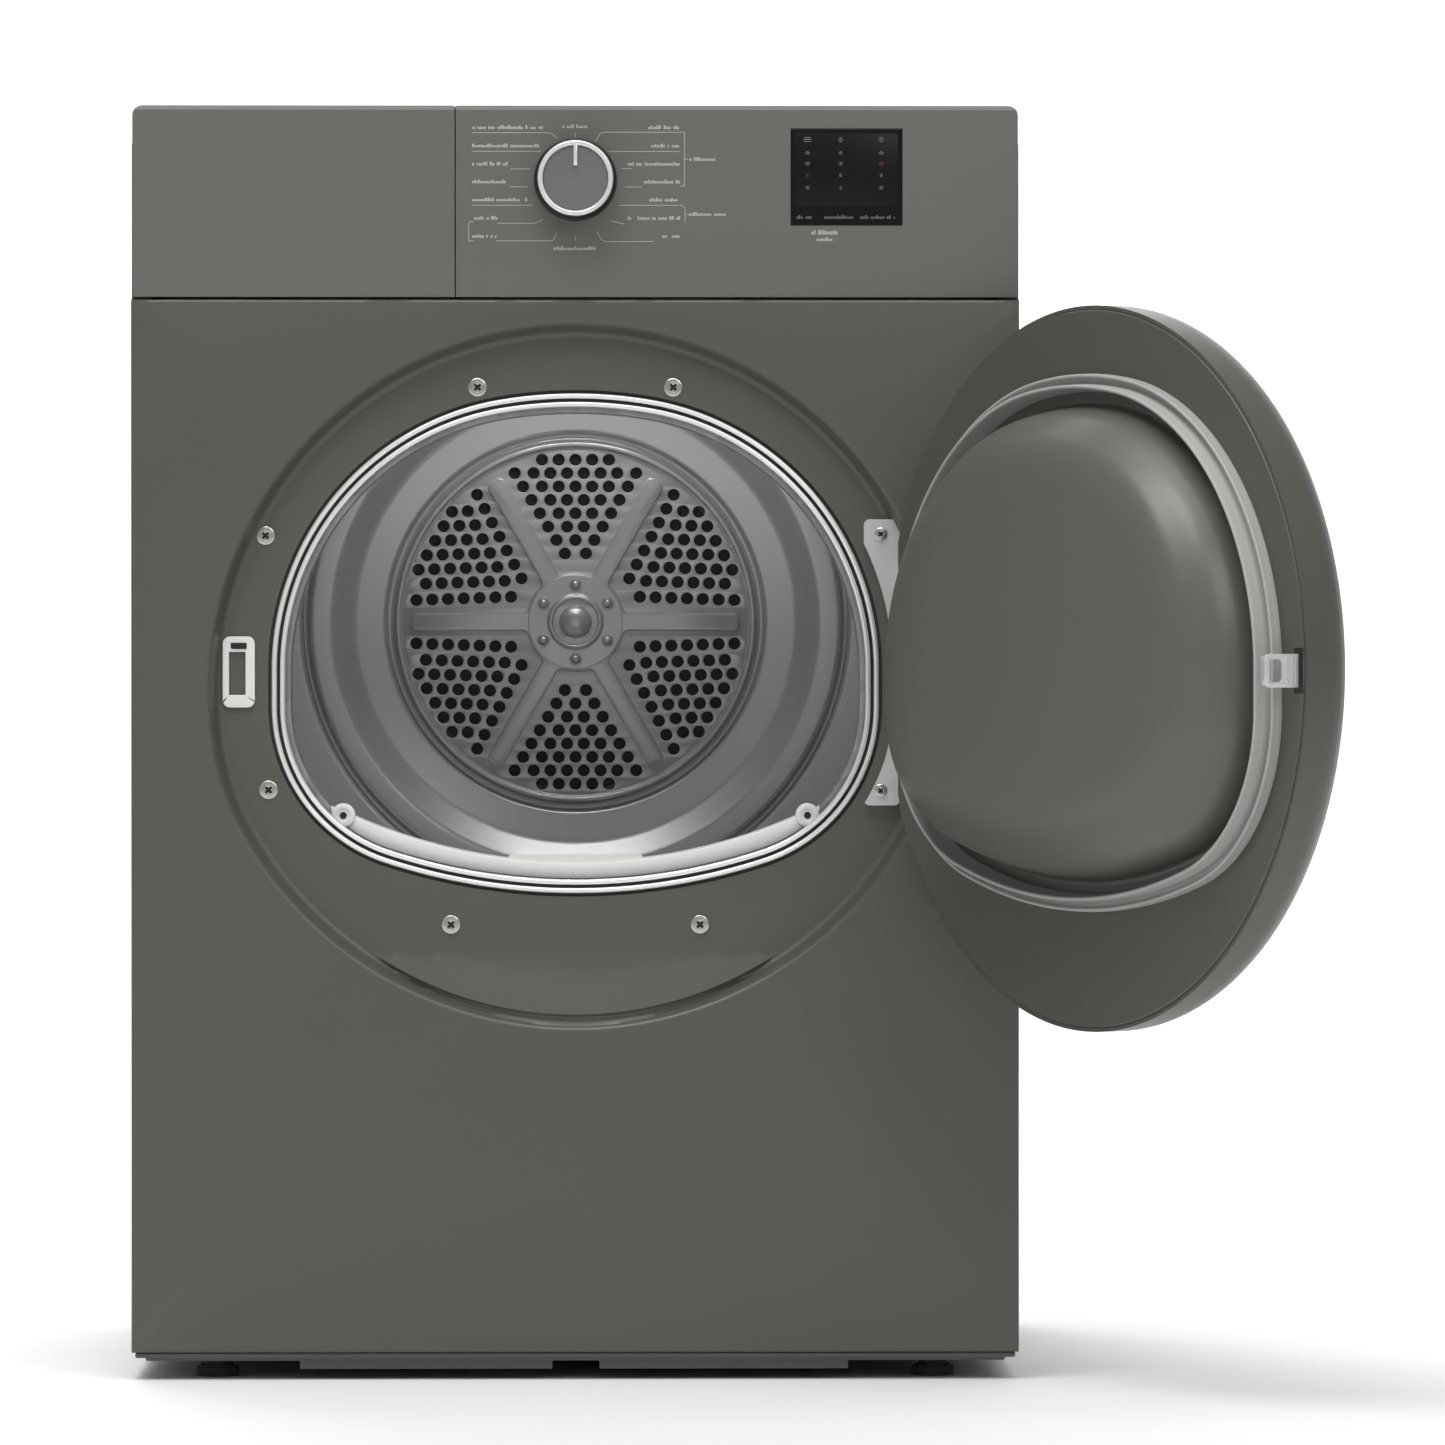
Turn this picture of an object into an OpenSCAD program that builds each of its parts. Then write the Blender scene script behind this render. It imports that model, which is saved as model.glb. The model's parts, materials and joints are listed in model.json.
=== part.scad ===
// Front-loading vented clothes dryer, door standing open.
// X runs to the right of someone facing the door, -Y points out of the front, +Z is up.
// The origin is on the floor, under the middle of the cabinet.

/* [Cabinet] */
// Width of the cabinet
body_w = 598; // [590:1:606]
// Height from the floor to the top of the worktop
body_h = 858; // [856:1:866]
// Front panel to back panel
body_d = 520; // [516:1:530]
// Sheet metal thickness
sheet = 1.2; // [1:0.1:1.4]
// Top of the plinth, where the steel panels start
skirt_z = 18.6; // [18.6:0.1:20]
// Thickness of the worktop
worktop_t = 24.8; // [22:0.1:26]

/* [Control panel] */
// Height of the fascia above the front panel
fascia_h = 128.6; // [126:0.1:130]
// Height of the sloping lip along the bottom of the fascia
lip_h = 20; // [16:1:22]
// How far the fascia stands in front of the front panel
fascia_out = 6; // [5:0.5:7]
// Where the fascia is split into the blank and the control part
split_x = -80.8; // [-90:0.1:-60]
// Height of the programme knob
knob_z = 808; // [806:1:810]
// Radius of the knob
knob_r = 25.5; // [24:0.5:27]

/* [Door] */
// Radius of the door
door_r = 236; // [235:0.5:237]
// Thickness of the door without its bulge
door_t = 45; // [44:0.5:46]
// Radius of the rounded rim
rim_r = 28; // [27:0.5:29]
// Height of the door centre
door_z = 479.5; // [479:0.5:480]
// Depth of the bulge behind the door
bulge_d = 52; // [48:1:54]
// How far the door stands open at rest
open_angle = 122.4; // [100:0.1:124]
// Distance of the hinge axis from the middle of the door
hinge_x = 223.9; // [223.7:0.1:224.2]

/* [Drum] */
// Outer radius of the drum
drum_r = 287; // [284:0.5:288]
// Height of the drum axis
drum_z = 512.6; // [512:0.1:514]
// Radius of the perforated part of the drum back
grille_r = 124; // [120:1:126]
// Diameter of the air holes
air_hole = 9; // [8:0.5:9.5]
// Spacing of the air holes
air_pitch = 12.2; // [11.9:0.1:12.4]
// Height of the lifters inside the drum
lifter_h = 56; // [45:1:58]

/* [Drive and air] */
// Motor shaft, to the right of the middle
motor_x = 165; // [162:1:168]
// Motor shaft above the floor
motor_z = 105; // [104:1:107]
// Radius of the belt groove on the motor pulley
pulley_r = 9; // [8:0.5:10]
// Radius of the drum support rollers
roller_r = 25; // [23:1:26]
// Outer radius of the exhaust collar
vent_r = 50; // [49:0.5:51]

/* [Hidden] */
$fn = 96;

half_w = body_w / 2;
front_y = -270;
back_y = front_y + body_d;
cover_y = back_y + 22;
fascia_z = body_h - fascia_h;
panel_top = fascia_z - 1.6;
side_top = body_h - worktop_t - 0.2;
fascia_x = half_w - 1.3;
corner_r = 6.7;

// Recess around the loading mouth
recess_z = 464.7;
recess_r = 247;
low_recess_z = 493.9;
low_recess_r = 257;
recess_low = low_recess_z - low_recess_r;
recess_d = 14;
floor_y = front_y + recess_d;
ramp_z = 288;

// Loading mouth: an arc above, an arc below, and on each side two corners with a short straight edge
mouth_w = 202.6;
shoulder_x = 20.3;
shoulder_z = 478.7;
shoulder_r = mouth_w - shoulder_x;
top_arc_r = 303;
top_arc_z = shoulder_z - sqrt(pow(top_arc_r - shoulder_r, 2) - pow(shoulder_x, 2));
corner_x = 93.9;
corner_z = 453.6;
corner_arc_r = mouth_w - corner_x;
low_arc_r = 412;
low_arc_z = corner_z + sqrt(pow(low_arc_r - corner_arc_r, 2) - pow(corner_x, 2));

// Door and hinge
hinge_y = -289;
inner_y = hinge_y + 14;
outer_y = inner_y - door_t;
skin = 2.5;
hinge_low = 387;
hinge_high = 580;
knuckle_l = 20;
low_arm = 409;
low_leaf = low_arm + knuckle_l + 1;
high_leaf = 508;
high_arm = high_leaf + knuckle_l + 1;
pin_l = 46;
pin_r = 3;
knuckle_r = 6;
hook_x = -227;
hook_z = 477;
strike_x = hook_x;

// Drum
drum_front = -184;
drum_rear = 196;
grille_y = 225;
collar_r = 247;
bulkhead_y = -196;
shaft_r = 9;
first_row = 49.8;
hole_row = 9.75;

// Drum supports, set 35 degrees either side of the bottom
roller_reach = drum_r + roller_r + 0.3;
roller_x = roller_reach * sin(35);
roller_z = drum_z - roller_reach * cos(35);

// Belt run: both straight runs are tangents of drum and pulley
belt_y = 20;
belt_w = 8;
belt_t = 2.5;
belt_gap = 0.3;
run_len = norm([motor_x, drum_z - motor_z]);
run_tilt = atan2(drum_z - motor_z, -motor_x);
run_spread = asin((drum_r - pulley_r) / run_len);
right_run = run_tilt - run_spread;
idler_r = 18;
idler_along = 90;
idler_off = pulley_r + belt_gap + belt_t + 0.5 + idler_r;
idler_x = motor_x + idler_along * cos(right_run) + idler_off * sin(right_run);
idler_z = motor_z + idler_along * sin(right_run) - idler_off * cos(right_run);
pivot_x = 262;
pivot_z = 110;

// Exhaust
vent_x = 50;
vent_z = 84;

foot_x = 242.5;
foot_ys = [-225, 205];
recess_screws = [[-66, 669], [66, 669], [-209, 569], [-207, 397.5], [-84, 306.6], [84, 306.6]];
plate_screws = [[206, 570], [206, 397]];

// ---- helpers ----
// A flat outline drawn in X and Z, made thick from y0 to y1
module across(y0, y1) translate([0, y1, 0]) rotate([90, 0, 0]) linear_extrude(y1 - y0) children();
// A flat outline drawn in Y and Z, made thick from x0 to x1
module along(x0, x1) translate([x0, 0, 0]) rotate([90, 0, 90]) linear_extrude(x1 - x0) children();
// A profile of radius and forward distance, turned about a front-to-back axis
module turned(x, z, y) translate([x, y, z]) rotate([90, 0, 0]) rotate_extrude() children();
// A round bar from y0 to y1
module rod(x, z, y0, y1, r) translate([x, y1, z]) rotate([90, 0, 0]) cylinder(r = r, h = y1 - y0);
module tube(x, z, y0, y1, r, wall) difference() {
    rod(x, z, y0, y1, r);
    rod(x, z, y0 - 1, y1 + 1, r - wall);
}
module block(a, b) translate(a) cube([b[0] - a[0], b[1] - a[1], b[2] - a[2]]);
module ring(outer, inner) difference() {
    circle(outer);
    circle(inner);
}
module rounded(a, b, r) {
    translate([a[0] + r, a[1]]) square([b[0] - a[0] - 2 * r, b[1] - a[1]]);
    translate([a[0], a[1] + r]) square([b[0] - a[0], b[1] - a[1] - 2 * r]);
    for (x = [a[0] + r, b[0] - r], y = [a[1] + r, b[1] - r]) translate([x, y]) circle(r);
}
module both_sides() {
    children();
    mirror([1, 0, 0]) children();
}
// The mouth outline grown by g; every arc keeps its centre
module mouth(g = 0) {
    intersection() {
        for (s = [-1, 1]) translate([s * shoulder_x, shoulder_z]) circle(shoulder_r + g);
        translate([-300, shoulder_z]) square([600, 300]);
    }
    intersection() {
        translate([0, top_arc_z]) circle(top_arc_r + g);
        polygon([
            [0, top_arc_z],
            [-3 * shoulder_x, 3 * shoulder_z - 2 * top_arc_z],
            [3 * shoulder_x, 3 * shoulder_z - 2 * top_arc_z]
        ]);
    }
    translate([-mouth_w - g, corner_z]) square([2 * (mouth_w + g), shoulder_z - corner_z]);
    for (s = [-1, 1]) translate([s * corner_x, corner_z]) circle(corner_arc_r + g);
    intersection() {
        translate([0, low_arc_z]) circle(low_arc_r + g);
        polygon([
            [0, low_arc_z],
            [-2 * corner_x, 2 * corner_z - low_arc_z],
            [2 * corner_x, 2 * corner_z - low_arc_z]
        ]);
        translate([-300, corner_z - 299]) square([600, 300]);
    }
}
// The outline of the recess in the front panel, grown by g
module recess(g = 0) intersection() {
    translate([0, recess_z]) circle(recess_r + g);
    translate([0, low_recess_z]) circle(low_recess_r + g);
}
module mouth_ring(outer, inner) difference() {
    mouth(outer);
    mouth(inner);
}
// Crescent that fills the bottom of the mouth
module crescent(g) difference() {
    mouth(g);
    translate([0, 720.8]) circle(372.8);
}
module closed_to_open() translate([hinge_x, hinge_y, 0]) rotate([0, 0, open_angle])
    translate([-hinge_x, -hinge_y, 0]) children();
// Room for the hinge in the rim of the door
module hinge_notch() translate([hinge_x, hinge_y, hinge_low - 4]) linear_extrude(hinge_high - hinge_low + 8)
    polygon([[-7.5, 16], [-7.5, -4], [-2, -9.5], [0, -9.5], [30, -46], [60, -46], [60, 16]]);
module screw(x, z, y, r = 6) {
    rod(x, z, y - 2.6, y, r);
    rod(x, z, y, y + 9, 2);
}

// ---- base ----
module base_tray() color("dimgray") difference() {
    union() {
        block([-half_w + 2.5, front_y + 2, 15], [half_w - 2.5, back_y - 3, skirt_z - 0.2]);
        block([-289.5, front_y + 6, 12.7], [289.5, back_y - 10, 15]);
        for (y = [-262, 226]) {
            block([-186, y, 7], [-15.5, y + 12, 12.7]);
            block([16, y, 7], [184, y + 12, 12.7]);
        }
        difference() {
            block([-290, -254, 15], [290, 240, 58]);
            block([-287, -251, 14], [287, 237, 60]);
        }
        for (y = [-130, 60, 150]) block([-287, y, 15], [-60, y + 3, 40]);
    }
    for (x = [-foot_x, foot_x], y = foot_ys) translate([x, y, 0]) cylinder(r = 5.05, h = 60);
    block([7, 236, 38], [93, 241, 60]);
}
module levelling_feet() color("black") for (x = [-foot_x, foot_x], y = foot_ys) translate([x, y, 0]) {
    cylinder(r = 14.5, h = 6);
    translate([0, 0, 6]) cylinder(r = 12, h = 1.6);
    translate([0, 0, 7.6]) cylinder(r = 9.5, h = 5, $fn = 6);
    cylinder(r = 5, h = 42);
}

// ---- cabinet ----
module side_swage(grow) rounded([-190 - grow, 130 - grow], [180 + grow, 700 + grow], 40 + grow);
module side_panel() color("dimgray") {
    difference() {
        block([half_w - sheet, -257.5, skirt_z], [half_w, back_y - sheet - 0.2, side_top]);
        along(half_w - 5, half_w + 1) side_swage(0);
    }
    along(half_w - 3.4, half_w - 3.4 + sheet) side_swage(sheet);
    along(half_w - 3.4, half_w) difference() {
        side_swage(sheet);
        side_swage(0);
    }
    block([half_w - 18, back_y - 2.6, skirt_z], [half_w, back_y - 1.4, side_top]);
    block([half_w - 14, -257.5, skirt_z], [half_w, -256.3, side_top]);
    block([half_w - 18, -257.5, side_top - sheet], [half_w, back_y - 1.4, side_top]);
    block([half_w - 8, -257.5, skirt_z], [half_w, back_y - 1.4, skirt_z + sheet]);
}
module left_side_panel() mirror([1, 0, 0]) side_panel();
module right_side_panel() side_panel();
module back_panel() color("silver") across(back_y - sheet, back_y) difference() {
    translate([-half_w + 1.5, skirt_z]) square([body_w - 3, side_top - skirt_z]);
    translate([0, drum_z]) circle(30);
    for (a = [0 : 60 : 300]) translate([0, drum_z]) rotate(a)
        rounded([-14, 62], [14, 112], 13.9);
    translate([vent_x, vent_z]) circle(vent_r + 0.1);
    translate([-230, 150]) circle(9.1);
    for (i = [0 : 9]) rounded([-220, 220 + 14 * i], [-120, 226 + 14 * i], 2.9);
    for (i = [0 : 5]) rounded([130, 60 + 14 * i], [230, 66 + 14 * i], 2.9);
    rounded([-55, 185], [55, 240], 10);
    for (z = [40, 300, 560, 815], x = [-280, 280]) translate([x, z]) circle(2.1);
}
module cover_outline(grow) {
    translate([0, drum_z]) circle(150 + grow);
    rounded([-72 - grow, 168 - grow], [72 + grow, drum_z], 14 + grow);
}
module rear_duct_cover() color("silver") {
    across(cover_y - sheet, cover_y) cover_outline(0);
    across(back_y + 0.1, cover_y - sheet) difference() {
        cover_outline(0);
        cover_outline(-sheet);
    }
    across(back_y + 0.1, back_y + 0.1 + sheet) difference() {
        cover_outline(14);
        cover_outline(-sheet);
    }
}
module worktop() color("dimgray") across(-257.8, back_y) difference() {
    rounded([-fascia_x, body_h - worktop_t - 10], [fascia_x, body_h], corner_r);
    translate([-300, 700]) square([600, body_h - worktop_t - 700]);
}
module front_panel() color("dimgray") {
    across(front_y, front_y + sheet) difference() {
        translate([-half_w, skirt_z]) square([body_w, panel_top - skirt_z]);
        recess();
    }
    both_sides() block([half_w - sheet, front_y, skirt_z], [half_w, -258, panel_top]);
    block([-half_w, front_y, panel_top - sheet], [half_w, -258, panel_top]);
    block([-half_w, front_y, skirt_z], [half_w, -258, skirt_z + sheet]);
    across(front_y, floor_y + sheet) difference() {
        recess(sheet);
        recess();
    }
    across(floor_y, floor_y + sheet) difference() {
        intersection() {
            recess(0.5);
            translate([-300, ramp_z - 1.3]) square([600, 600]);
        }
        mouth(0);
        translate([strike_x - 8.5, hook_z - 20]) square([17, 40]);
        for (p = concat(recess_screws, plate_screws)) translate(p) circle(2.1);
    }
    intersection() {
        across(front_y + 0.5, -250) recess(0.6);
        along(-300, 300) polygon([
            [floor_y, ramp_z], [front_y, recess_low], [front_y + 1.4, recess_low - 1],
            [floor_y + 0.8, ramp_z - 1.8], [floor_y + 0.8, ramp_z]
        ]);
    }
    across(floor_y, -244) mouth_ring(sheet, 0);
}
module mouth_trim() color("gainsboro") {
    across(floor_y - 2, floor_y - 0.05) mouth_ring(2.4, -3.2);
    across(floor_y - 1, -240.5) mouth_ring(-0.3, -3.2);
}

// ---- control panel ----
module fascia_profile() polygon([
    [-258, fascia_z], [front_y, fascia_z], [front_y - fascia_out, fascia_z + lip_h],
    [front_y - fascia_out, body_h - 3], [front_y - fascia_out + 3, body_h], [-258, body_h]
]);
module fascia_hollow() polygon([
    [-257, fascia_z + 2.5], [front_y + 1.8, fascia_z + 2.5],
    [front_y - fascia_out + 2.5, fascia_z + lip_h + 0.4],
    [front_y - fascia_out + 2.5, body_h - 2.5], [-257, body_h - 2.5]
]);
module fascia(x0, x1) difference() {
    along(x0, x1) fascia_profile();
    along(x0 + 2.5, x1 - 2.5) fascia_hollow();
    both_sides() difference() {
        block([fascia_x - corner_r, -300, body_h - corner_r], [fascia_x + 1, -250, body_h + 1]);
        rod(fascia_x - corner_r, body_h - corner_r, -301, -249, corner_r);
    }
}
module control_fascia() color("gray") difference() {
    fascia(split_x + 0.4, fascia_x);
    block([144.7, -280, 777.3], [220, -270, 842.6]);
    rod(0, knob_z, -280, -270, 8);
}
module blank_fascia() color("gray") fascia(-fascia_x, split_x - 0.4);
module display_window() color("black") {
    block([145, -276.3, 777.6], [219.7, -273.5, 842.3]);
    block([142, -273.4, 774.5], [223, -272, 845.5]);
    block([145, -273.5, 777.6], [219.7, -273.3, 842.3]);
}
module display_board() color("darkgreen") {
    block([138, -266.6, 772], [228, -265, 846]);
    for (x = [155.5, 178.5, 205.5], i = [0 : 4]) block([x - 1.5, -269, 800 + 8.1 * i], [x + 1.5, -266.6, 803 + 8.1 * i]);
}
module control_board() color("darkgreen") {
    block([40, -262, 742], [280, -260.4, 768]);
    for (x = [60, 110, 150]) block([x, -260.4, 745], [x + 26, -244, 765]);
    rod(215, 755, -260.4, -236, 9);
    rod(245, 755, -260.4, -240, 7);
}
module selector_switch() color("whitesmoke") difference() {
    union() {
        block([-20, -266, knob_z - 20], [20, -248, knob_z + 20]);
        rod(0, knob_z, -272, -266, 6.5);
        block([-30, -266, knob_z - 4], [30, -264, knob_z + 4]);
    }
    rod(0, knob_z, -273, -250, 3.05);
}
module knob() color("dimgray") {
    difference() {
        union() {
            rod(0, knob_z, -279, -276.6, knob_r + 2.4);
            rod(0, knob_z, -298, -279, knob_r);
        }
        rod(0, knob_z, -280, -270, knob_r - 2.5);
        rod(0, knob_z, -294, -270, 6);
        turned(0, knob_z, -297) translate([21.7, 0]) square([4, 2]);
        block([-1.3, -299, knob_z + 8], [1.3, -297, knob_z + 22]);
    }
    rod(0, knob_z, -295, -251, 3);
}
module knob_ring() color("gainsboro") {
    tube(0, knob_z, -299, -297.05, knob_r, 3.7);
    block([-1.2, -298.5, knob_z + 8.1], [1.2, -297.05, knob_z + 22.5]);
}
module crossbar() color("silver") {
    block([-half_w + 20, -243, 790], [half_w - 20, -241.5, 828]);
    block([-half_w + 20, -243, 790], [half_w - 20, -225, 791.5]);
    block([-half_w + 20, -243, 826.5], [half_w - 20, -225, 828]);
    both_sides() block([half_w - 21, -243, 790], [half_w - 19.5, -225, 828]);
}

// ---- front bulkhead, felt and filter ----
module front_bulkhead() color("silver") {
    across(bulkhead_y, bulkhead_y + 1.5) difference() {
        rounded([-278, 62], [278, 822], 12);
        mouth(-10);
        translate([motor_x, motor_z]) circle(90);
        translate([-10, 50]) square([150, 100]);
        for (s = [-1, 1]) translate([s * 235, 760]) circle(18);
    }
    difference() {
        across(-239, bulkhead_y + 0.5) mouth_ring(-6.5, -10);
        block([-91, -240, 320], [91, bulkhead_y - 0.5, 354]);
    }
    tube(0, drum_z, bulkhead_y + 1, -172, collar_r, 1.5);
}
module front_felt() color("linen") tube(0, drum_z, -191, -174, collar_r + 2.6, 2.55);
module rear_felt() color("linen") tube(0, drum_z, 225, back_y - sheet - 0.1, 152, 10);
module filter_bezel() color("whitesmoke") difference() {
    across(-241, -199) crescent(-10.7);
    block([-87, -234, 320], [87, -204.5, 360]);
    for (s = [-1, 1]) rod(s * 156, 379, -242, -232, 3);
    block([-60, -242, 344], [60, -233, 350]);
}
module filter_housing() color("dimgray") {
    difference() {
        union() {
            block([-92, -238.5, 172], [92, -199.5, 322]);
            block([30, -238.5, 30], [235, -199.5, 175]);
        }
        block([-90, -236.5, 174], [90, -201.5, 323]);
        block([32, -236.5, 32], [233, -201.5, 173]);
        block([32, -236.5, 160], [90, -201.5, 190]);
        rod(motor_x, motor_z, -202, -199, 45);
    }
}
module lint_filter() color("gainsboro") {
    difference() {
        block([-84, -232, 190], [84, -207, 334]);
        block([-81, -229, 186], [81, -210, 330]);
        for (x = [-78, -37.5, 3, 43.5]) block([x, -240, 196], [x + 34.5, -200, 322]);
    }
    across(-232, -207) difference() {
        translate([-84, 333]) square([168, 30]);
        translate([0, 720.8]) circle(372.8);
    }
    across(-226, -213) rounded([-46, 340], [46, 353], 3);
}
module moisture_sensors() color("silver") for (s = [-1, 1])
    translate([s * 104, 0, 0]) block([-10, -198.8, 357], [10, -196.8, 361]);
module drum_lamp() color("gainsboro") {
    rod(150, 640, -194.4, -186, 12);
    rod(150, 640, -186, -181, 9);
}
module roller_axles() color("silver") both_sides() {
    rod(roller_x, roller_z, bulkhead_y + 1.5, -140, 5);
    rod(roller_x, roller_z, -141.5, -138, 8);
    rod(roller_x, roller_z, bulkhead_y + 1.5, -172, 8);
}
module support_roller(x) color("black") difference() {
    rod(x, roller_z, -171.5, -142, 10);
    rod(x, roller_z, -172, -141, 5.05);
}
module roller_wheel(x) color("black") {
    support_roller(x);
    tube(x, roller_z, -168, -146, roller_r, roller_r - 9);
}
module support_roller_left() roller_wheel(-roller_x);
module support_roller_right() roller_wheel(roller_x);

// ---- lock and hinge ----
module lock_strike() color("whitesmoke") difference() {
    union() {
        across(floor_y - 2.5, floor_y - 0.05) rounded([strike_x - 10.9, hook_z - 24], [strike_x + 10.9, hook_z + 24], 5);
        block([strike_x - 8.3, floor_y - 1, hook_z - 19.8], [strike_x + 8.3, -222, hook_z + 19.8]);
    }
    block([strike_x - 6.5, -260, hook_z - 15.5], [strike_x + 4.5, -226, hook_z + 13.5]);
    block([strike_x - 5.2, -260, hook_z + 15.8], [strike_x + 5.2, -240, hook_z + 19.4]);
}
module lock_key() color("black") block([strike_x - 5, -259.6, hook_z + 16], [strike_x + 5, -245, hook_z + 19.2]);
module hinge_plate() color("lightgray") difference() {
    union() {
        across(floor_y - 6, floor_y - 0.05) difference() {
            rounded([194.5, hinge_low], [219, hinge_high], 4);
            mouth(11.5);
        }
        for (z = [low_arm, high_arm]) {
            translate([hinge_x, hinge_y, z]) cylinder(r = knuckle_r, h = knuckle_l);
            block([hinge_x - 5, hinge_y, z], [hinge_x + 1, floor_y - 0.05, z + knuckle_l]);
            block([hinge_x - 10, floor_y - 6, z], [hinge_x + 1, floor_y - 0.05, z + knuckle_l]);
        }
    }
    for (z = [low_arm, high_arm]) translate([hinge_x, hinge_y, z - 1]) cylinder(r = pin_r + 0.02, h = knuckle_l + 2);
    for (p = plate_screws) rod(p[0], p[1], -270, -250, 2.1);
}
module hinge_pins() color("silver") for (z = [low_arm - 2, high_leaf - 2]) translate([hinge_x, hinge_y, z]) {
    cylinder(r = pin_r, h = pin_l);
    translate([0, 0, z < door_z - pin_l ? -2 : pin_l]) cylinder(r = 5, h = 2);
}
module door_hinge_leaf() color("silver") closed_to_open() difference() {
    union() {
        for (z = [low_leaf, high_leaf]) translate([hinge_x, hinge_y, z]) {
            cylinder(r = knuckle_r, h = knuckle_l);
            block([-20, -5, 0], [0, -2, knuckle_l]);
        }
        block([hinge_x - 62, hinge_y - 5, low_leaf], [hinge_x - 5.5, hinge_y - 2, high_leaf + knuckle_l]);
    }
    for (z = [low_leaf, high_leaf]) translate([hinge_x, hinge_y, z - 1])
        cylinder(r = pin_r + 0.05, h = knuckle_l + 2);
}
module panel_screws() color("silver") {
    for (p = recess_screws) screw(p[0], p[1], floor_y - 0.05);
    for (p = plate_screws) screw(p[0], p[1], floor_y - 6.05, 4.5);
    for (z = [40, 300, 560, 815], x = [-280, 280]) {
        rod(x, z, back_y + 0.05, back_y + 2.4, 5);
        rod(x, z, back_y - 1.3, back_y + 0.05, 2);
    }
}

// ---- door, drawn shut and swung open ----
module dish(r, t, edge) {
    square([r - edge, t]);
    square([r, t - edge]);
    translate([r - edge, t - edge]) circle(edge);
}
module door_cover() color("dimgray") closed_to_open() difference() {
    turned(0, door_z, inner_y - 1.2) difference() {
        dish(door_r, door_t - 1.2, rim_r);
        translate([0, -1]) dish(door_r - skin, door_t - skin - 0.2, rim_r - skin);
        translate([-300, -300]) square([300, 600]);
        translate([0, -300]) square([300, 300]);
    }
    hinge_notch();
}
module bulge(inset) hull() {
    across(inner_y - 2.5, inner_y - 2.4) mouth(-12 - inset, $fn = 64);
    across(inner_y + 27 - inset, inner_y + 27.1 - inset) mouth(-20 - inset, $fn = 64);
    across(inner_y + 35 - inset, inner_y + 35.1 - inset) mouth(-27 - inset, $fn = 64);
    across(inner_y + 46 - inset, inner_y + 46.1 - inset) mouth(-36 - inset, $fn = 64);
    across(inner_y + bulge_d - 0.1 - inset, inner_y + bulge_d - inset) mouth(-48 - inset, $fn = 64);
}
module door_inner() color("dimgray") closed_to_open() difference() {
    union() {
        across(inner_y - skin, inner_y) translate([0, door_z]) circle(door_r - skin - 0.3);
        bulge(0);
        for (z = [hook_z - 16.5, hook_z + 13])
            block([hook_x - 5, inner_y - 16, z], [hook_x + 14, inner_y - 1, z + 3.5]);
    }
    translate([0, -1, 0]) bulge(2.5);
    block([hook_x - 3.2, inner_y - 20, hook_z - 12.5], [hook_x + 3.2, inner_y + 1, hook_z + 12.5]);
    translate([hook_x, inner_y - 11, hook_z - 30]) cylinder(r = 2.02, h = 60);
    hinge_notch();
}
module door_gasket() color("silver") closed_to_open() {
    across(inner_y + 0.05, inner_y + 2.5) mouth_ring(8, -3);
    across(inner_y + 2.4, -258.7) mouth_ring(1, -1.5);
    across(inner_y + 2.4, -267.3) mouth_ring(8, 5.5);
}
module latch_hook() color("lightgray") closed_to_open() difference() {
    union() {
        block([hook_x - 1.2, inner_y - 11, hook_z - 11.5], [hook_x + 1.2, -248, hook_z + 11.5]);
        translate([hook_x, inner_y - 11, hook_z - 11.5]) cylinder(r = 4, h = 23);
        block([hook_x - 2.6, -251, hook_z - 11.5], [hook_x + 2.6, -248, hook_z + 11.5]);
    }
    translate([hook_x, inner_y - 11, hook_z - 20]) cylinder(r = 2.05, h = 40);
    block([hook_x - 5, -262, hook_z - 6.5], [hook_x + 5, -252, hook_z + 6.5]);
}
module latch_pin() color("silver") closed_to_open()
    translate([hook_x, inner_y - 11, hook_z - 17]) cylinder(r = 2, h = 34);

// ---- drum ----
module drum_shell() color("silver") {
    turned(0, drum_z, drum_rear) {
        translate([drum_r - sheet, 0]) square([sheet, drum_rear - drum_front]);
        translate([250.4, drum_rear - drum_front - sheet]) square([drum_r - 250.4, sheet]);
        translate([250.4, drum_rear - drum_front - 10]) square([sheet, 10]);
        translate([drum_r - 8, 0]) square([8, sheet]);
    }
}
// Forward distance of the pressed drum back from the grille plane, at each radius
back_steps = [
    [grille_r + 2, 0], [grille_r + 6, 3], [grille_r + 8, -2], [grille_r + 13, -2], [grille_r + 15, 4],
    [161, 10], [177, 24], [193, 26], [194.5, 21], [197.5, 21], [199, 26.5], [drum_r - 3, 29]
];
// Each row of air holes is one longer than the row inside it; the outermost is shorter
function last_hole(row) = row < 7 ? row + 1 : 4;
module drum_back() color("silver") {
    turned(0, drum_z, grille_y) polygon(concat(
        back_steps, [for (i = [len(back_steps) - 1 : -1 : 0]) back_steps[i] - [0, sheet]]
    ));
    across(grille_y, grille_y + sheet) translate([0, drum_z]) difference() {
        circle(grille_r + 2.5);
        circle(shaft_r + 0.02);
        for (a = [0 : 60 : 300]) rotate(a) for (row = [0 : 7], i = [0 : last_hole(row)])
            translate([(i - last_hole(row) / 2) * air_pitch, first_row + hole_row * row])
                circle(air_hole / 2, $fn = 24);
    }
    for (a = [0 : 60 : 300]) translate([0, 0, drum_z]) rotate([0, a, 0])
        across(grille_y - 3, grille_y + 0.6) rounded([37, -6.5], [119, 6.5], 6.4);
}
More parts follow.
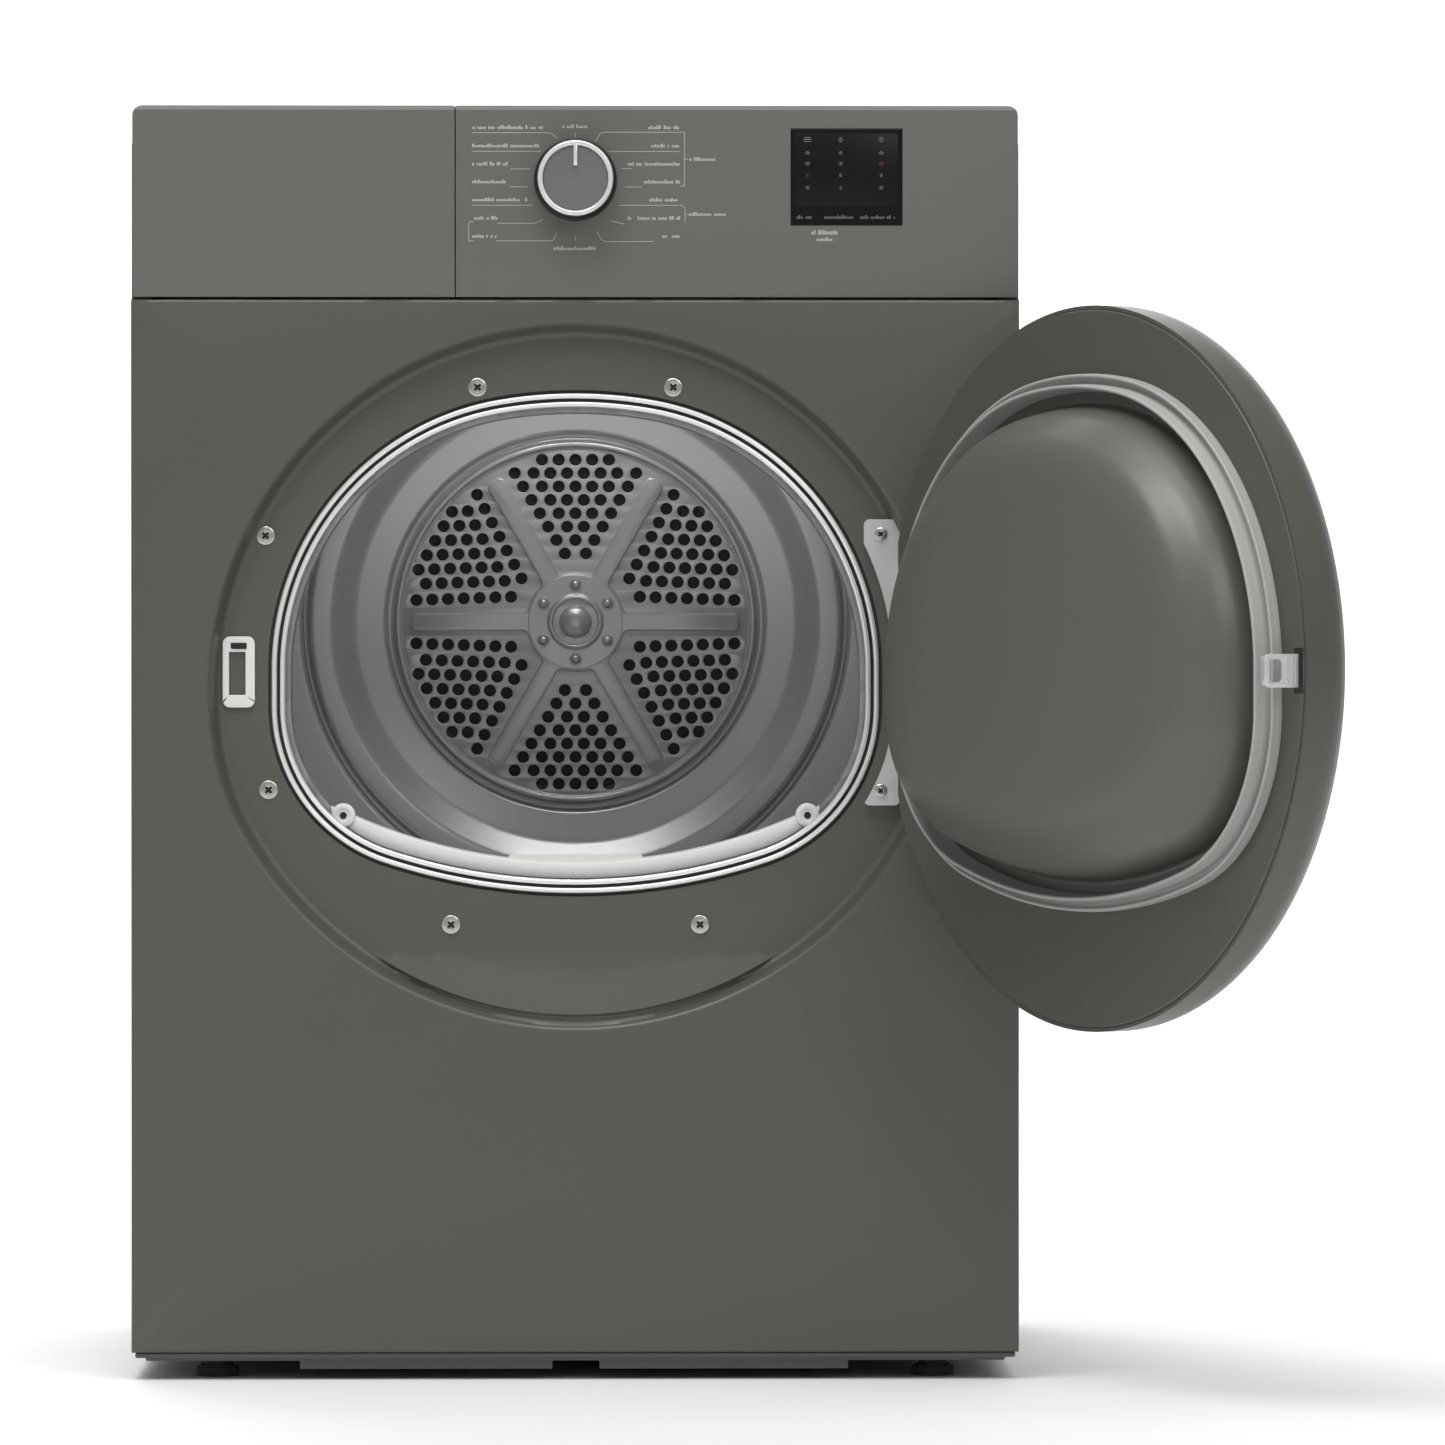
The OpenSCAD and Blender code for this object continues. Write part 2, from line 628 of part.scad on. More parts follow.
module drum_hub() color("silver") {
    turned(0, drum_z, grille_y - 0.05) {
        square([36, 4]);
        translate([0, 3]) square([19, 7]);
        translate([0, 9]) square([10, 4]);
    }
    for (a = [30 : 60 : 330]) rod(27 * cos(a), drum_z + 27 * sin(a), grille_y - 6.5, grille_y - 3, 5);
    tube(0, drum_z, grille_y + sheet + 0.05, grille_y + 7, 30, 20.9);
}
module drum_shaft() color("silver") {
    rod(0, drum_z, grille_y, 262, shaft_r);
    tube(0, drum_z, grille_y + 7.2, grille_y + 8.5, 15, 5.9);
    tube(0, drum_z, 252, 253.5, 12, 2.9);
}
module drum_lifters() color("silver") for (a = [90, 210, 330])
    translate([0, 0, drum_z]) rotate([0, a, 0]) across(-150, 175) difference() {
        intersection() {
            circle(drum_r - sheet - 0.05);
            polygon([[300, -38], [drum_r - lifter_h + 6, -11], [drum_r - lifter_h, -5],
                [drum_r - lifter_h, 5], [drum_r - lifter_h + 6, 11], [300, 38]]);
        }
        polygon([[290, -30], [drum_r - lifter_h + 5, -5], [drum_r - lifter_h + 5, 5], [290, 30]]);
    }
module bearing_bracket() color("dimgray") {
    tube(0, drum_z, back_y - 12, back_y - sheet - 0.05, 28, 15.4);
    across(back_y - 6, back_y - sheet - 0.05) difference() {
        union() for (a = [0, 60, 120]) translate([0, drum_z]) rotate(a) rounded([-135, -11], [135, 11], 10);
        translate([0, drum_z]) circle(20);
    }
}
module shaft_bush() color("goldenrod") tube(0, drum_z, back_y - 13, back_y + 1, 12.5, 12.5 - shaft_r - 0.05);

// ---- motor, belt and blower ----
module motor_housing() color("silver") difference() {
    union() {
        rod(motor_x, motor_z, -105, -15, 55);
        rod(motor_x, motor_z, -118, -2, 40);
        rod(motor_x, motor_z, -124, 4, 14);
    }
    rod(motor_x, motor_z, -130, 10, 6.05);
}
module motor_bracket() color("dimgray") {
    difference() {
        block([motor_x - 48, -98, skirt_z], [motor_x + 48, -22, 76]);
        rod(motor_x, motor_z, -130, 10, 55.3);
        block([motor_x - 44, -99, skirt_z + 3], [motor_x + 44, -60.5, 48]);
    }
    block([pivot_x - 12, 45, skirt_z], [pivot_x + 12, 57, pivot_z + 12]);
    block([pivot_x - 12, 20, skirt_z], [pivot_x + 12, 57, skirt_z + 4]);
    rod(pivot_x, pivot_z, 30, 45, 5);
    rod(pivot_x, pivot_z, 28, 31, 8);
}
module motor_shaft() color("silver") {
    rod(motor_x, motor_z, -188, 40, 6);
    tube(motor_x, motor_z, 16, 32, pulley_r, pulley_r - 6.02);
    for (y = [12, 32]) tube(motor_x, motor_z, y, y + 4, 12.5, 12.5 - 6.02);
}
module impeller() color("whitesmoke") {
    tube(motor_x, motor_z, -186, -150, 14, 14 - 6.02);
    tube(motor_x, motor_z, -154, -151, 70, 57);
    for (a = [0 : 20 : 340]) translate([motor_x, 0, motor_z]) rotate([0, a, 0])
        block([46, -186, -1], [70, -153, 1]);
    tube(motor_x, motor_z, -188, -185, 71, 22);
}
module blower_shape(grow) {
    translate([motor_x, motor_z]) circle(80 + grow);
    translate([4 - grow, motor_z - 80 - grow]) square([motor_x - 4, 60 + 2 * grow]);
    translate([4 - grow, motor_z - 80 - grow]) square([92 + 2 * grow, 108 + 2 * grow]);
}
module blower_housing() color("dimgray") difference() {
    across(-194, -140) blower_shape(2);
    across(-192, -142) blower_shape(0);
    rod(motor_x, motor_z, -195, -191, 45);
    rod(motor_x, motor_z, -143, -139, 9);
    block([10, -143, 42], [90, -139, 126]);
}
module exhaust_duct() color("gainsboro") difference() {
    block([8, -139.8, 40], [92, back_y - sheet - 0.2, 128]);
    block([10, -141, 42], [90, back_y - 5, 126]);
    rod(vent_x, vent_z, 200, 260, 40);
}
module vent_collar() color("dimgray") {
    tube(vent_x, vent_z, back_y + 0.05, cover_y, vent_r, 2);
    tube(vent_x, vent_z, back_y + 0.05, back_y + 1.5, vent_r + 8, 10);
}
function on_circle(c, r, a) = c + r * [cos(a), sin(a)];
// The belt's path, flat between the two wheels: grow is the distance outside their surfaces
function belt_path(grow) = concat(
    [for (i = [0 : 90]) on_circle([0, drum_z], drum_r + grow, run_tilt - run_spread - 90
        + i * (180 + 2 * run_spread) / 90)],
    [for (i = [0 : 30]) on_circle([motor_x, motor_z], pulley_r + grow, run_tilt + run_spread + 90
        + i * (180 - 2 * run_spread) / 30)]
);
module drive_belt() color("black") across(belt_y, belt_y + belt_w) difference() {
    polygon(belt_path(belt_gap + 0.2 + belt_t));
    polygon(belt_path(belt_gap + 0.2));
}
module idler_arm() color("silver") {
    difference() {
        union() {
            rod(pivot_x, pivot_z, 36, 41, 11);
            rod(idler_x, idler_z, 36, 41, 9);
            translate([pivot_x, 36, pivot_z])
                rotate([0, -atan2(idler_z - pivot_z, idler_x - pivot_x), 0])
                    translate([0, 0, -7]) cube([norm([idler_x - pivot_x, idler_z - pivot_z]), 5, 14]);
        }
        rod(pivot_x, pivot_z, 35, 42, 5.05);
    }
    rod(idler_x, idler_z, 14, 37, 4);
    tube(idler_x, idler_z, 16, 32, idler_r, idler_r - 4.02);
}

// ---- heater, sensors and wiring ----
module heater_element() color("firebrick") {
    for (i = [0 : 4]) rod_up(-48 + 24 * i, 262, 265, 375, 3.5);
    for (i = [0 : 3]) translate([-36 + 24 * i, 262, i % 2 == 0 ? 375 : 265]) rotate([i % 2 == 0 ? 90 : -90, 0, 0])
        rotate_extrude(angle = 180) translate([12, 0]) circle(3.5, $fn = 24);
    block([-58, 253, 250], [58, 270.5, 252.5]);
}
module rod_up(x, y, z0, z1, r) translate([x, y, z0]) cylinder(r = r, h = z1 - z0, $fn = 24);
module thermostats() color("silver") for (z = [410, 440]) translate([0, cover_y + 0.05, z]) rotate([-90, 0, 0]) {
    cylinder(r = 9, h = 3);
    translate([0, 0, 3]) cylinder(r = 6, h = 4);
}
module cable_gland() color("black") difference() {
    union() {
        rod(-230, 150, back_y + 0.05, back_y + 4, 14);
        rod(-230, 150, back_y + 4, back_y + 16, 9);
        rod(-230, 150, back_y - 12, back_y + 0.05, 9);
        rod(-230, 150, back_y - 12, back_y - sheet - 0.05, 13);
    }
    rod(-230, 150, back_y - 13, back_y + 17, 4);
}
module wiring_harness() color("gainsboro") {
    rod_up(-292, -235, 60, 780, 2.5);
    rod(-292, 780, -235, -228, 2.5);
    block([-293.5, -240, 774], [-278.5, -230, 789]);
}

base_tray();
levelling_feet();
left_side_panel();
right_side_panel();
back_panel();
rear_duct_cover();
worktop();
front_panel();
mouth_trim();
control_fascia();
blank_fascia();
display_window();
display_board();
control_board();
selector_switch();
crossbar();
front_bulkhead();
front_felt();
rear_felt();
bearing_bracket();
shaft_bush();
roller_axles();
filter_bezel();
filter_housing();
moisture_sensors();
drum_lamp();
lock_strike();
lock_key();
hinge_plate();
hinge_pins();
panel_screws();
motor_housing();
motor_bracket();
blower_housing();
exhaust_duct();
vent_collar();
heater_element();
thermostats();
cable_gland();
wiring_harness();
drive_belt();
door_cover();
door_inner();
door_gasket();
door_hinge_leaf();
latch_hook();
latch_pin();
drum_shell();
drum_back();
drum_hub();
drum_shaft();
drum_lifters();
knob();
knob_ring();
motor_shaft();
impeller();
support_roller_left();
support_roller_right();
idler_arm();
lint_filter();
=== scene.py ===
# Looks for a front-loading clothes dryer with its door standing open.
import json
import math
import random
import bmesh
import bpy
from mathutils import Matrix, Vector


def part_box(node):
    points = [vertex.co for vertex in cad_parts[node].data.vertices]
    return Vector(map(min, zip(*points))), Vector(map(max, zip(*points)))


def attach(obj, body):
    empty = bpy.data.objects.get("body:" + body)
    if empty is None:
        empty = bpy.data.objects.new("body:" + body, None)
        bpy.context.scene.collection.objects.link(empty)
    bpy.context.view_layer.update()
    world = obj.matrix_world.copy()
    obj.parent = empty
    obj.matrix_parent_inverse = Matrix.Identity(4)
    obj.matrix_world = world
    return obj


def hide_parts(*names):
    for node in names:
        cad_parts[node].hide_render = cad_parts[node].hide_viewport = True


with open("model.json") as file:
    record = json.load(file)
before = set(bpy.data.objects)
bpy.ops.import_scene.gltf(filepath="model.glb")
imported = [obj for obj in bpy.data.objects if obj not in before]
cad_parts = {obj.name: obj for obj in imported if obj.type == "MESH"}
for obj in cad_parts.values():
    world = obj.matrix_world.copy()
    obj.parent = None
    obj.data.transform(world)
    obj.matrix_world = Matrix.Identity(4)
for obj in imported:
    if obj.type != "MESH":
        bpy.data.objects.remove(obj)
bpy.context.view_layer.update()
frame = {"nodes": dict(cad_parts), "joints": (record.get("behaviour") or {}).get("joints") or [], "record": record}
record = frame["record"]
rng = random.Random(7)
mm = 0.001


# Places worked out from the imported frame
doorJoint = next(j for j in frame["joints"] if j["name"] == "door_hinge")
drumJoint = next(j for j in frame["joints"] if j["name"] == "drum_spin")
hinge = Vector(doorJoint["pos_m"])
openAngle = math.radians(-doorJoint["range_deg"][0])
swing = (Matrix.Translation((hinge.x, hinge.y, 0)) @ Matrix.Rotation(openAngle, 4, "Z")
         @ Matrix.Translation((-hinge.x, -hinge.y, 0)))
drumZ = drumJoint["pos_m"][2]
coverLow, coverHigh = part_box("door_cover")
doorZ = (coverLow.z + coverHigh.z) / 2
doorR = (coverHigh.z - coverLow.z) / 2
panelLow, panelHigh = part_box("front_panel")
frontY = panelLow.y
recessDepth, doorGap = 14 * mm, 5 * mm
floorY = frontY + recessDepth
doorInnerY = frontY - doorGap
# heights at which the trim, and the seal and hook, are drawn before they move to the frame (mm)
drawnFloorY, drawnInnerY = -256, -275
ringPoints = 288
halvings = 34

# Mouth outline as arcs: top, two shoulders, straight sides, two lower corners and a flat bottom
mouthShape = dict(half=202.6 * mm, shoulderX=20.3 * mm, shoulderZ=478.7 * mm, topR=303 * mm,
                  cornerX=93.9 * mm, cornerZ=453.6 * mm, lowR=412 * mm)
mouthShape["shoulderR"] = mouthShape["half"] - mouthShape["shoulderX"]
mouthShape["cornerR"] = mouthShape["half"] - mouthShape["cornerX"]
mouthShape["topZ"] = mouthShape["shoulderZ"] - math.sqrt(
    (mouthShape["topR"] - mouthShape["shoulderR"]) ** 2 - mouthShape["shoulderX"] ** 2)
mouthShape["lowZ"] = mouthShape["cornerZ"] + math.sqrt(
    (mouthShape["lowR"] - mouthShape["cornerR"]) ** 2 - mouthShape["cornerX"] ** 2)
recessShape = dict(z=464.7 * mm, r=247 * mm, lowZ=493.9 * mm, lowR=257 * mm, blend=3 * mm)


def mouthDistance(x, z):
    # how far a point lies outside the mouth outline
    s = mouthShape
    x = abs(x)
    if z >= s["shoulderZ"]:
        lean = s["shoulderX"] / (s["shoulderZ"] - s["topZ"])
        if x < (z - s["topZ"]) * lean:
            return math.hypot(x, z - s["topZ"]) - s["topR"]
        return math.hypot(x - s["shoulderX"], z - s["shoulderZ"]) - s["shoulderR"]
    if z >= s["cornerZ"]:
        return x - s["half"]
    lean = s["cornerX"] / (s["lowZ"] - s["cornerZ"])
    if x < (s["lowZ"] - z) * lean:
        return math.hypot(x, z - s["lowZ"]) - s["lowR"]
    return math.hypot(x - s["cornerX"], z - s["cornerZ"]) - s["cornerR"]


def recessDistance(x, z):
    # the same for the recess: two circles that meet softly
    s = recessShape
    a, b = math.hypot(x, z - s["z"]) - s["r"], math.hypot(x, z - s["lowZ"]) - s["lowR"]
    share = max(s["blend"] - abs(a - b), 0) / s["blend"]
    return max(a, b) + share * share * s["blend"] / 4


def outlineRing(distance, grow, count=ringPoints):
    # points of an outline grown by grow, at even angles about the door's middle
    points = []
    for i in range(count):
        a = 2 * math.pi * i / count
        c, s = math.cos(a), math.sin(a)
        low, high = 0.0, 0.4
        for _ in range(halvings):
            mid = (low + high) / 2
            if distance(c * mid, doorZ + s * mid) < grow:
                low = mid
            else:
                high = mid
        points.append((c * low, doorZ + s * low))
    return points


def mouthRing(grow):
    return outlineRing(mouthDistance, grow)


def recessRing(grow):
    return outlineRing(recessDistance, grow)


def circleRing(radius, count=ringPoints):
    turn = 2 * math.pi / count
    return [(radius * math.cos(i * turn), doorZ + radius * math.sin(i * turn)) for i in range(count)]


def boxRing(halfWidth, low, high, count=ringPoints):
    # rectangle points at the same even angles, so that it joins a circle face to face
    corners = [math.atan2(z - doorZ, x) % (2 * math.pi)
               for x, z in ((halfWidth, high), (-halfWidth, high), (-halfWidth, low), (halfWidth, low))]
    angles = [2 * math.pi * i / count for i in range(count)]
    for corner in corners:
        nearest = min(range(count), key=lambda k: abs(angles[k] - corner))
        angles[nearest] = corner
    points = []
    for a in angles:
        c, s = math.cos(a), math.sin(a)
        reach = [halfWidth / abs(c)] if abs(c) > 1e-9 else []
        if abs(s) > 1e-9:
            reach.append(((high - doorZ) if s > 0 else (doorZ - low)) / abs(s))
        points.append((c * min(reach), doorZ + s * min(reach)))
    return points


# Mesh helpers
def newPiece(name, verts, faces, sharp=35, move=None):
    mesh = bpy.data.meshes.new(name)
    mesh.from_pydata([tuple(v) for v in verts], [], faces)
    mesh.validate()
    bm = bmesh.new()
    bm.from_mesh(mesh)
    bmesh.ops.remove_doubles(bm, verts=bm.verts, dist=1e-6)
    bmesh.ops.recalc_face_normals(bm, faces=bm.faces)
    bm.to_mesh(mesh)
    bm.free()
    mesh.polygons.foreach_set("use_smooth", [True] * len(mesh.polygons))
    mesh.set_sharp_from_angle(angle=math.radians(sharp))
    if move is not None:
        mesh.transform(move)
    piece = bpy.data.objects.new(name, mesh)
    bpy.context.scene.collection.objects.link(piece)
    return piece


def loft(name, rings, loop=False, capFirst=False, capLast=False, **options):
    # rings are lists of 3D points of one length; loop joins the last ring to the first
    count = len(rings[0])
    verts = [p for ring in rings for p in ring]
    faces = []
    for k in range(len(rings) if loop else len(rings) - 1):
        a, b = k * count, ((k + 1) % len(rings)) * count
        faces += [(a + i, a + (i + 1) % count, b + (i + 1) % count, b + i) for i in range(count)]
    if capFirst:
        faces.append(tuple(range(count)))
    if capLast:
        faces.append(tuple(range((len(rings) - 1) * count, len(rings) * count)))
    return newPiece(name, verts, faces, **options)


def atDepth(ring, y):
    return [(x, y, z) for x, z in ring]


def sweepMouth(name, profile, **options):
    # profile is a closed list of (grow, y)
    cache = {}
    rings = []
    for grow, y in profile:
        key = round(grow, 6)
        if key not in cache:
            cache[key] = mouthRing(grow)
        rings.append(atDepth(cache[key], y))
    return loft(name, rings, loop=True, **options)


def arc(cx, cy, radius, start, end, steps):
    # points of an arc, angles in degrees
    return [(cx + radius * math.cos(math.radians(start + (end - start) * i / steps)),
             cy + radius * math.sin(math.radians(start + (end - start) * i / steps)))
            for i in range(steps + 1)]


def turnedPiece(name, profile, x, z, steps=96, loop=True, **options):
    # profile of (radius, y) turned about a front-to-back axis
    rings = []
    for radius, y in profile:
        r = max(radius, 1e-5)
        rings.append([(x + r * math.cos(2 * math.pi * i / steps), y, z
                       + r * math.sin(2 * math.pi * i / steps))
                      for i in range(steps)])
    return loft(name, rings, loop=loop, **options)


def softBlock(name, low, high, radius=0.6 * mm, segments=2, move=None):
    # a block with rounded edges
    bm = bmesh.new()
    bmesh.ops.create_cube(bm, size=1)
    size = Vector(high) - Vector(low)
    bmesh.ops.scale(bm, vec=size, verts=bm.verts)
    bmesh.ops.translate(bm, vec=(Vector(low) + Vector(high)) / 2, verts=bm.verts)
    bmesh.ops.bevel(bm, geom=bm.edges[:], offset=min(radius, 0.45 * min(size)), segments=segments,
                    affect="EDGES", profile=0.5)
    mesh = bpy.data.meshes.new(name)
    bm.to_mesh(mesh)
    bm.free()
    mesh.polygons.foreach_set("use_smooth", [True] * len(mesh.polygons))
    mesh.set_sharp_from_angle(angle=math.radians(50))
    if move is not None:
        mesh.transform(move)
    piece = bpy.data.objects.new(name, mesh)
    bpy.context.scene.collection.objects.link(piece)
    return piece


def joined(name, pieces):
    # several pieces of one finish as one mesh
    bm = bmesh.new()
    for piece in pieces:
        bm.from_mesh(piece.data)
    mesh = bpy.data.meshes.new(name)
    bm.to_mesh(mesh)
    bm.free()
    mesh.set_sharp_from_angle(angle=math.radians(35))
    for piece in pieces:
        old = piece.data
        bpy.data.objects.remove(piece)
        bpy.data.meshes.remove(old)
    piece = bpy.data.objects.new(name, mesh)
    bpy.context.scene.collection.objects.link(piece)
    return piece


def flatSheet(name, outline, holes, y0, y1, bevel=0.0, move=None, **options):
    # a flat plate in X and Z with round or shaped holes, from y0 to y1
    curve = bpy.data.curves.new(name, "CURVE")
    curve.dimensions = "2D"
    curve.fill_mode = "BOTH"
    curve.extrude = abs(y1 - y0) / 2 - bevel
    curve.offset = -bevel
    curve.bevel_depth = bevel
    curve.bevel_resolution = 1
    for path in [outline] + holes:
        spline = curve.splines.new("POLY")
        spline.points.add(len(path) - 1)
        for point, (x, z) in zip(spline.points, path):
            point.co = (x, z, 0, 1)
        spline.use_cyclic_u = True
    source = bpy.data.objects.new(name + "Curve", curve)
    bpy.context.scene.collection.objects.link(source)
    bpy.context.view_layer.update()
    mesh = bpy.data.meshes.new_from_object(source.evaluated_get(bpy.context.evaluated_depsgraph_get()))
    mesh.transform(Matrix.Translation((0, (y0 + y1) / 2, 0)) @ Matrix.Rotation(math.radians(90), 4, "X"))
    bpy.data.objects.remove(source)
    verts = [v.co.copy() for v in mesh.vertices]
    faces = [tuple(p.vertices) for p in mesh.polygons]
    bpy.data.meshes.remove(mesh)
    piece = newPiece(name, verts, faces, **options)
    for face in piece.data.polygons:
        if abs(face.normal.y) > 0.999:
            face.use_smooth = False
    if move is not None:
        piece.data.transform(move)
    return piece


def settle(piece, body, slot, replaced=()):
    # one call that gives a piece its body, its finish and the nodes it stands for
    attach(piece, body)
    if replaced:
        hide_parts(*replaced)
    piece.data.materials.clear()
    piece.data.materials.append(finishes[slot])
    return piece


# Materials
class Wire:
    # a shader socket that can stand in a Python expression
    def __init__(self, paint, socket):
        self.paint, self.socket = paint, socket

    def maths(self, operation, *values):
        return self.paint.add("ShaderNodeMath", {"operation": operation}, dict(enumerate(values)))

    def __add__(self, other):
        return self.maths("ADD", self, other)

    def __radd__(self, other):
        return self.maths("ADD", other, self)

    def __sub__(self, other):
        return self.maths("SUBTRACT", self, other)

    def __rsub__(self, other):
        return self.maths("SUBTRACT", other, self)

    def __mul__(self, other):
        return self.maths("MULTIPLY", self, other)

    def __rmul__(self, other):
        return self.maths("MULTIPLY", other, self)

    def __truediv__(self, other):
        return self.maths("DIVIDE", self, other)

    def __pow__(self, other):
        return self.maths("POWER", self, other)

    def above(self, edge, soft):
        # 0 below the edge, 1 above it, over a soft stretch
        return self.paint.add("ShaderNodeMapRange", {"interpolation_type": "SMOOTHSTEP"},
                              {"Value": self, "From Min": edge - soft, "From Max": edge + soft})


class Paint:
    def __init__(self, name):
        self.material = bpy.data.materials.new(name)
        self.material.use_nodes = True
        self.tree = self.material.node_tree
        self.tree.nodes.clear()
        self.place = self.add("ShaderNodeTexCoord", out="Object")

    def add(self, kind, settings=None, inputs=None, out=0):
        node = self.tree.nodes.new(kind)
        for key, value in (settings or {}).items():
            if key == "stops":
                stops = node.color_ramp.elements
                while len(stops) < len(value):
                    stops.new(0.5)
                for stop, (position, colour) in zip(stops, value):
                    stop.position = position
                    stop.color = (*colour, 1) if len(colour) == 3 else colour
            else:
                setattr(node, key, value)
        for key, value in (inputs or {}).items():
            if isinstance(value, Wire):
                self.tree.links.new(value.socket, node.inputs[key])
            else:
                node.inputs[key].default_value = value
        return Wire(self, node.outputs[out]) if len(node.outputs) else None

    def noise(self, scale, detail=3.0, rough=0.5, place=None):
        return self.add("ShaderNodeTexNoise", inputs={"Vector": place or self.place, "Scale": scale,
                                                      "Detail": detail, "Roughness": rough})

    def stretched(self, stretch, offset=(0, 0, 0)):
        return self.add("ShaderNodeMapping",
                        inputs={"Vector": self.place, "Scale": stretch, "Location": offset})

    def mix(self, factor, first, second, kind="MIX"):
        return self.add("ShaderNodeMix", {"data_type": "RGBA", "blend_type": kind},
                        {0: factor, 6: asColour(first), 7: asColour(second)}, out=2)

    def bump(self, height, depth, strength=1.0, under=None):
        inputs = {"Height": height, "Distance": depth, "Strength": strength}
        if under is not None:
            inputs["Normal"] = under
        return self.add("ShaderNodeBump", inputs=inputs)

    def axes(self):
        parts = self.tree.nodes.new("ShaderNodeSeparateXYZ")
        self.tree.links.new(self.place.socket, parts.inputs[0])
        return [Wire(self, s) for s in parts.outputs]

    def surface(self, inputs):
        shader = self.add("ShaderNodeBsdfPrincipled", inputs=inputs)
        self.add("ShaderNodeOutputMaterial", inputs={"Surface": shader})
        return self.material


def asColour(value):
    return (*value, 1) if isinstance(value, tuple) and len(value) == 3 else value


def grey(level, warm=0.0):
    # sRGB level 0-255 to a linear colour, a little warm or cool
    def linear(v):
        v = v / 255
        return v / 12.92 if v <= 0.04045 else ((v + 0.055) / 1.055) ** 2.4
    return (linear(level + warm), linear(level + warm * 0.6), linear(level - warm))


def tone(r, g, b):
    return (grey(r)[0], grey(g)[0], grey(b)[0])


def shaded(colour, share):
    return tuple(c * share for c in colour)


# Finishes that differ only in colour, gloss and grain: fine is grains per metre, depth in metres
plainFinishes = dict(
    cabinet_paint=dict(colour=tone(80, 81, 74), rough=0.42, fine=900, depth=3e-5, strength=0.22,
                       mottle=0.05, coat=0.12),
    fascia_plastic=dict(colour=tone(100, 100, 95), rough=0.4, fine=1800, depth=2e-5, strength=0.2,
                        mottle=0.04, coat=0.08),
    door_plastic=dict(colour=tone(77, 78, 71), rough=0.38, fine=1500, depth=2e-5, strength=0.2, mottle=0.05,
                      coat=0.15),
    base_plastic=dict(colour=tone(82, 82, 80), rough=0.6, fine=1300, depth=8e-5, strength=0.35, mottle=0.08),
    foot_rubber=dict(colour=tone(46, 46, 45), rough=0.75, fine=1500, depth=1e-4, strength=0.4, mottle=0.2),
    worktop_laminate=dict(colour=tone(102, 103, 99), rough=0.45, fine=2200, depth=3e-5, strength=0.3,
                          mottle=0.1),
    switch_plastic=dict(colour=tone(214, 211, 203), rough=0.45, fine=900, depth=3e-5, strength=0.2,
                        mottle=0.05),
    filter_white=dict(colour=tone(226, 227, 224), rough=0.4, fine=1400, depth=3e-5, strength=0.25,
                      mottle=0.05),
    duct_plastic=dict(colour=tone(118, 118, 117), rough=0.55, fine=1200, depth=6e-5, strength=0.3,
                      mottle=0.08),
    lock_white=dict(colour=tone(222, 222, 218), rough=0.3, fine=900, depth=2e-5, strength=0.15, mottle=0.03,
                    coat=0.3),
    key_black=dict(colour=tone(22, 22, 22), rough=0.5, fine=1500, depth=3e-5, strength=0.3, mottle=0.1),
    gasket_rubber=dict(colour=tone(168, 168, 165), rough=0.5, fine=1600, depth=3e-5, strength=0.3,
                       mottle=0.06),
    belt_rubber=dict(colour=tone(30, 30, 30), rough=0.7, fine=1600, depth=6e-5, strength=0.4, mottle=0.15),
    wire_white=dict(colour=tone(205, 200, 190), rough=0.5, fine=1500, depth=4e-5, strength=0.3, mottle=0.06),
    paddle_plastic=dict(colour=tone(150, 150, 149), rough=0.5, fine=1300, depth=4e-5, strength=0.3,
                        mottle=0.06),
    display_gloss=dict(colour=tone(14, 14, 15), rough=0.2, fine=300, depth=4e-6, strength=0.1, mottle=0.1,
                       gloss=0.25),
    hinge_metal=dict(colour=tone(204, 205, 204), rough=0.35, fine=1200, depth=5e-5, strength=0.35,
                     mottle=0.08, metal=0.35),
    motor_steel=dict(colour=tone(150, 150, 150), rough=0.4, fine=700, depth=4e-5, strength=0.3, mottle=0.12,
                     metal=0.8),
    bearing_bronze=dict(colour=tone(176, 134, 74), rough=0.4, fine=2500, depth=5e-5, strength=0.4,
                        mottle=0.15, metal=0.9),
    heater_steel=dict(colour=tone(120, 104, 92), rough=0.45, fine=600, depth=3e-5, strength=0.3,
                      mottle=0.35, metal=0.85),
)


def plainFinish(name, look):
    paint = Paint(name)
    cloud = paint.noise(14, 4)
    grain = paint.noise(look["fine"], 2, 0.6)
    colour = look["colour"]
    patch = (cloud - 0.5) * (look["mottle"] * 1.6) + (grain - 0.5) * look["mottle"] + 0.5
    spread = look["mottle"] * 2
    base = paint.mix(patch, shaded(colour, 1 - spread), shaded(colour, 1 + spread))
    rough = look["rough"] + (cloud - 0.5) * 0.1 + (grain - 0.5) * 0.08
    return paint.surface({
        "Base Color": base, "Roughness": rough, "Metallic": look.get("metal", 0.0),
        "Coat Weight": look.get("coat", 0.0), "Coat Roughness": 0.25,
        "Specular IOR Level": look.get("gloss", 0.5),
        "Normal": paint.bump(grain, look["depth"], look["strength"])})


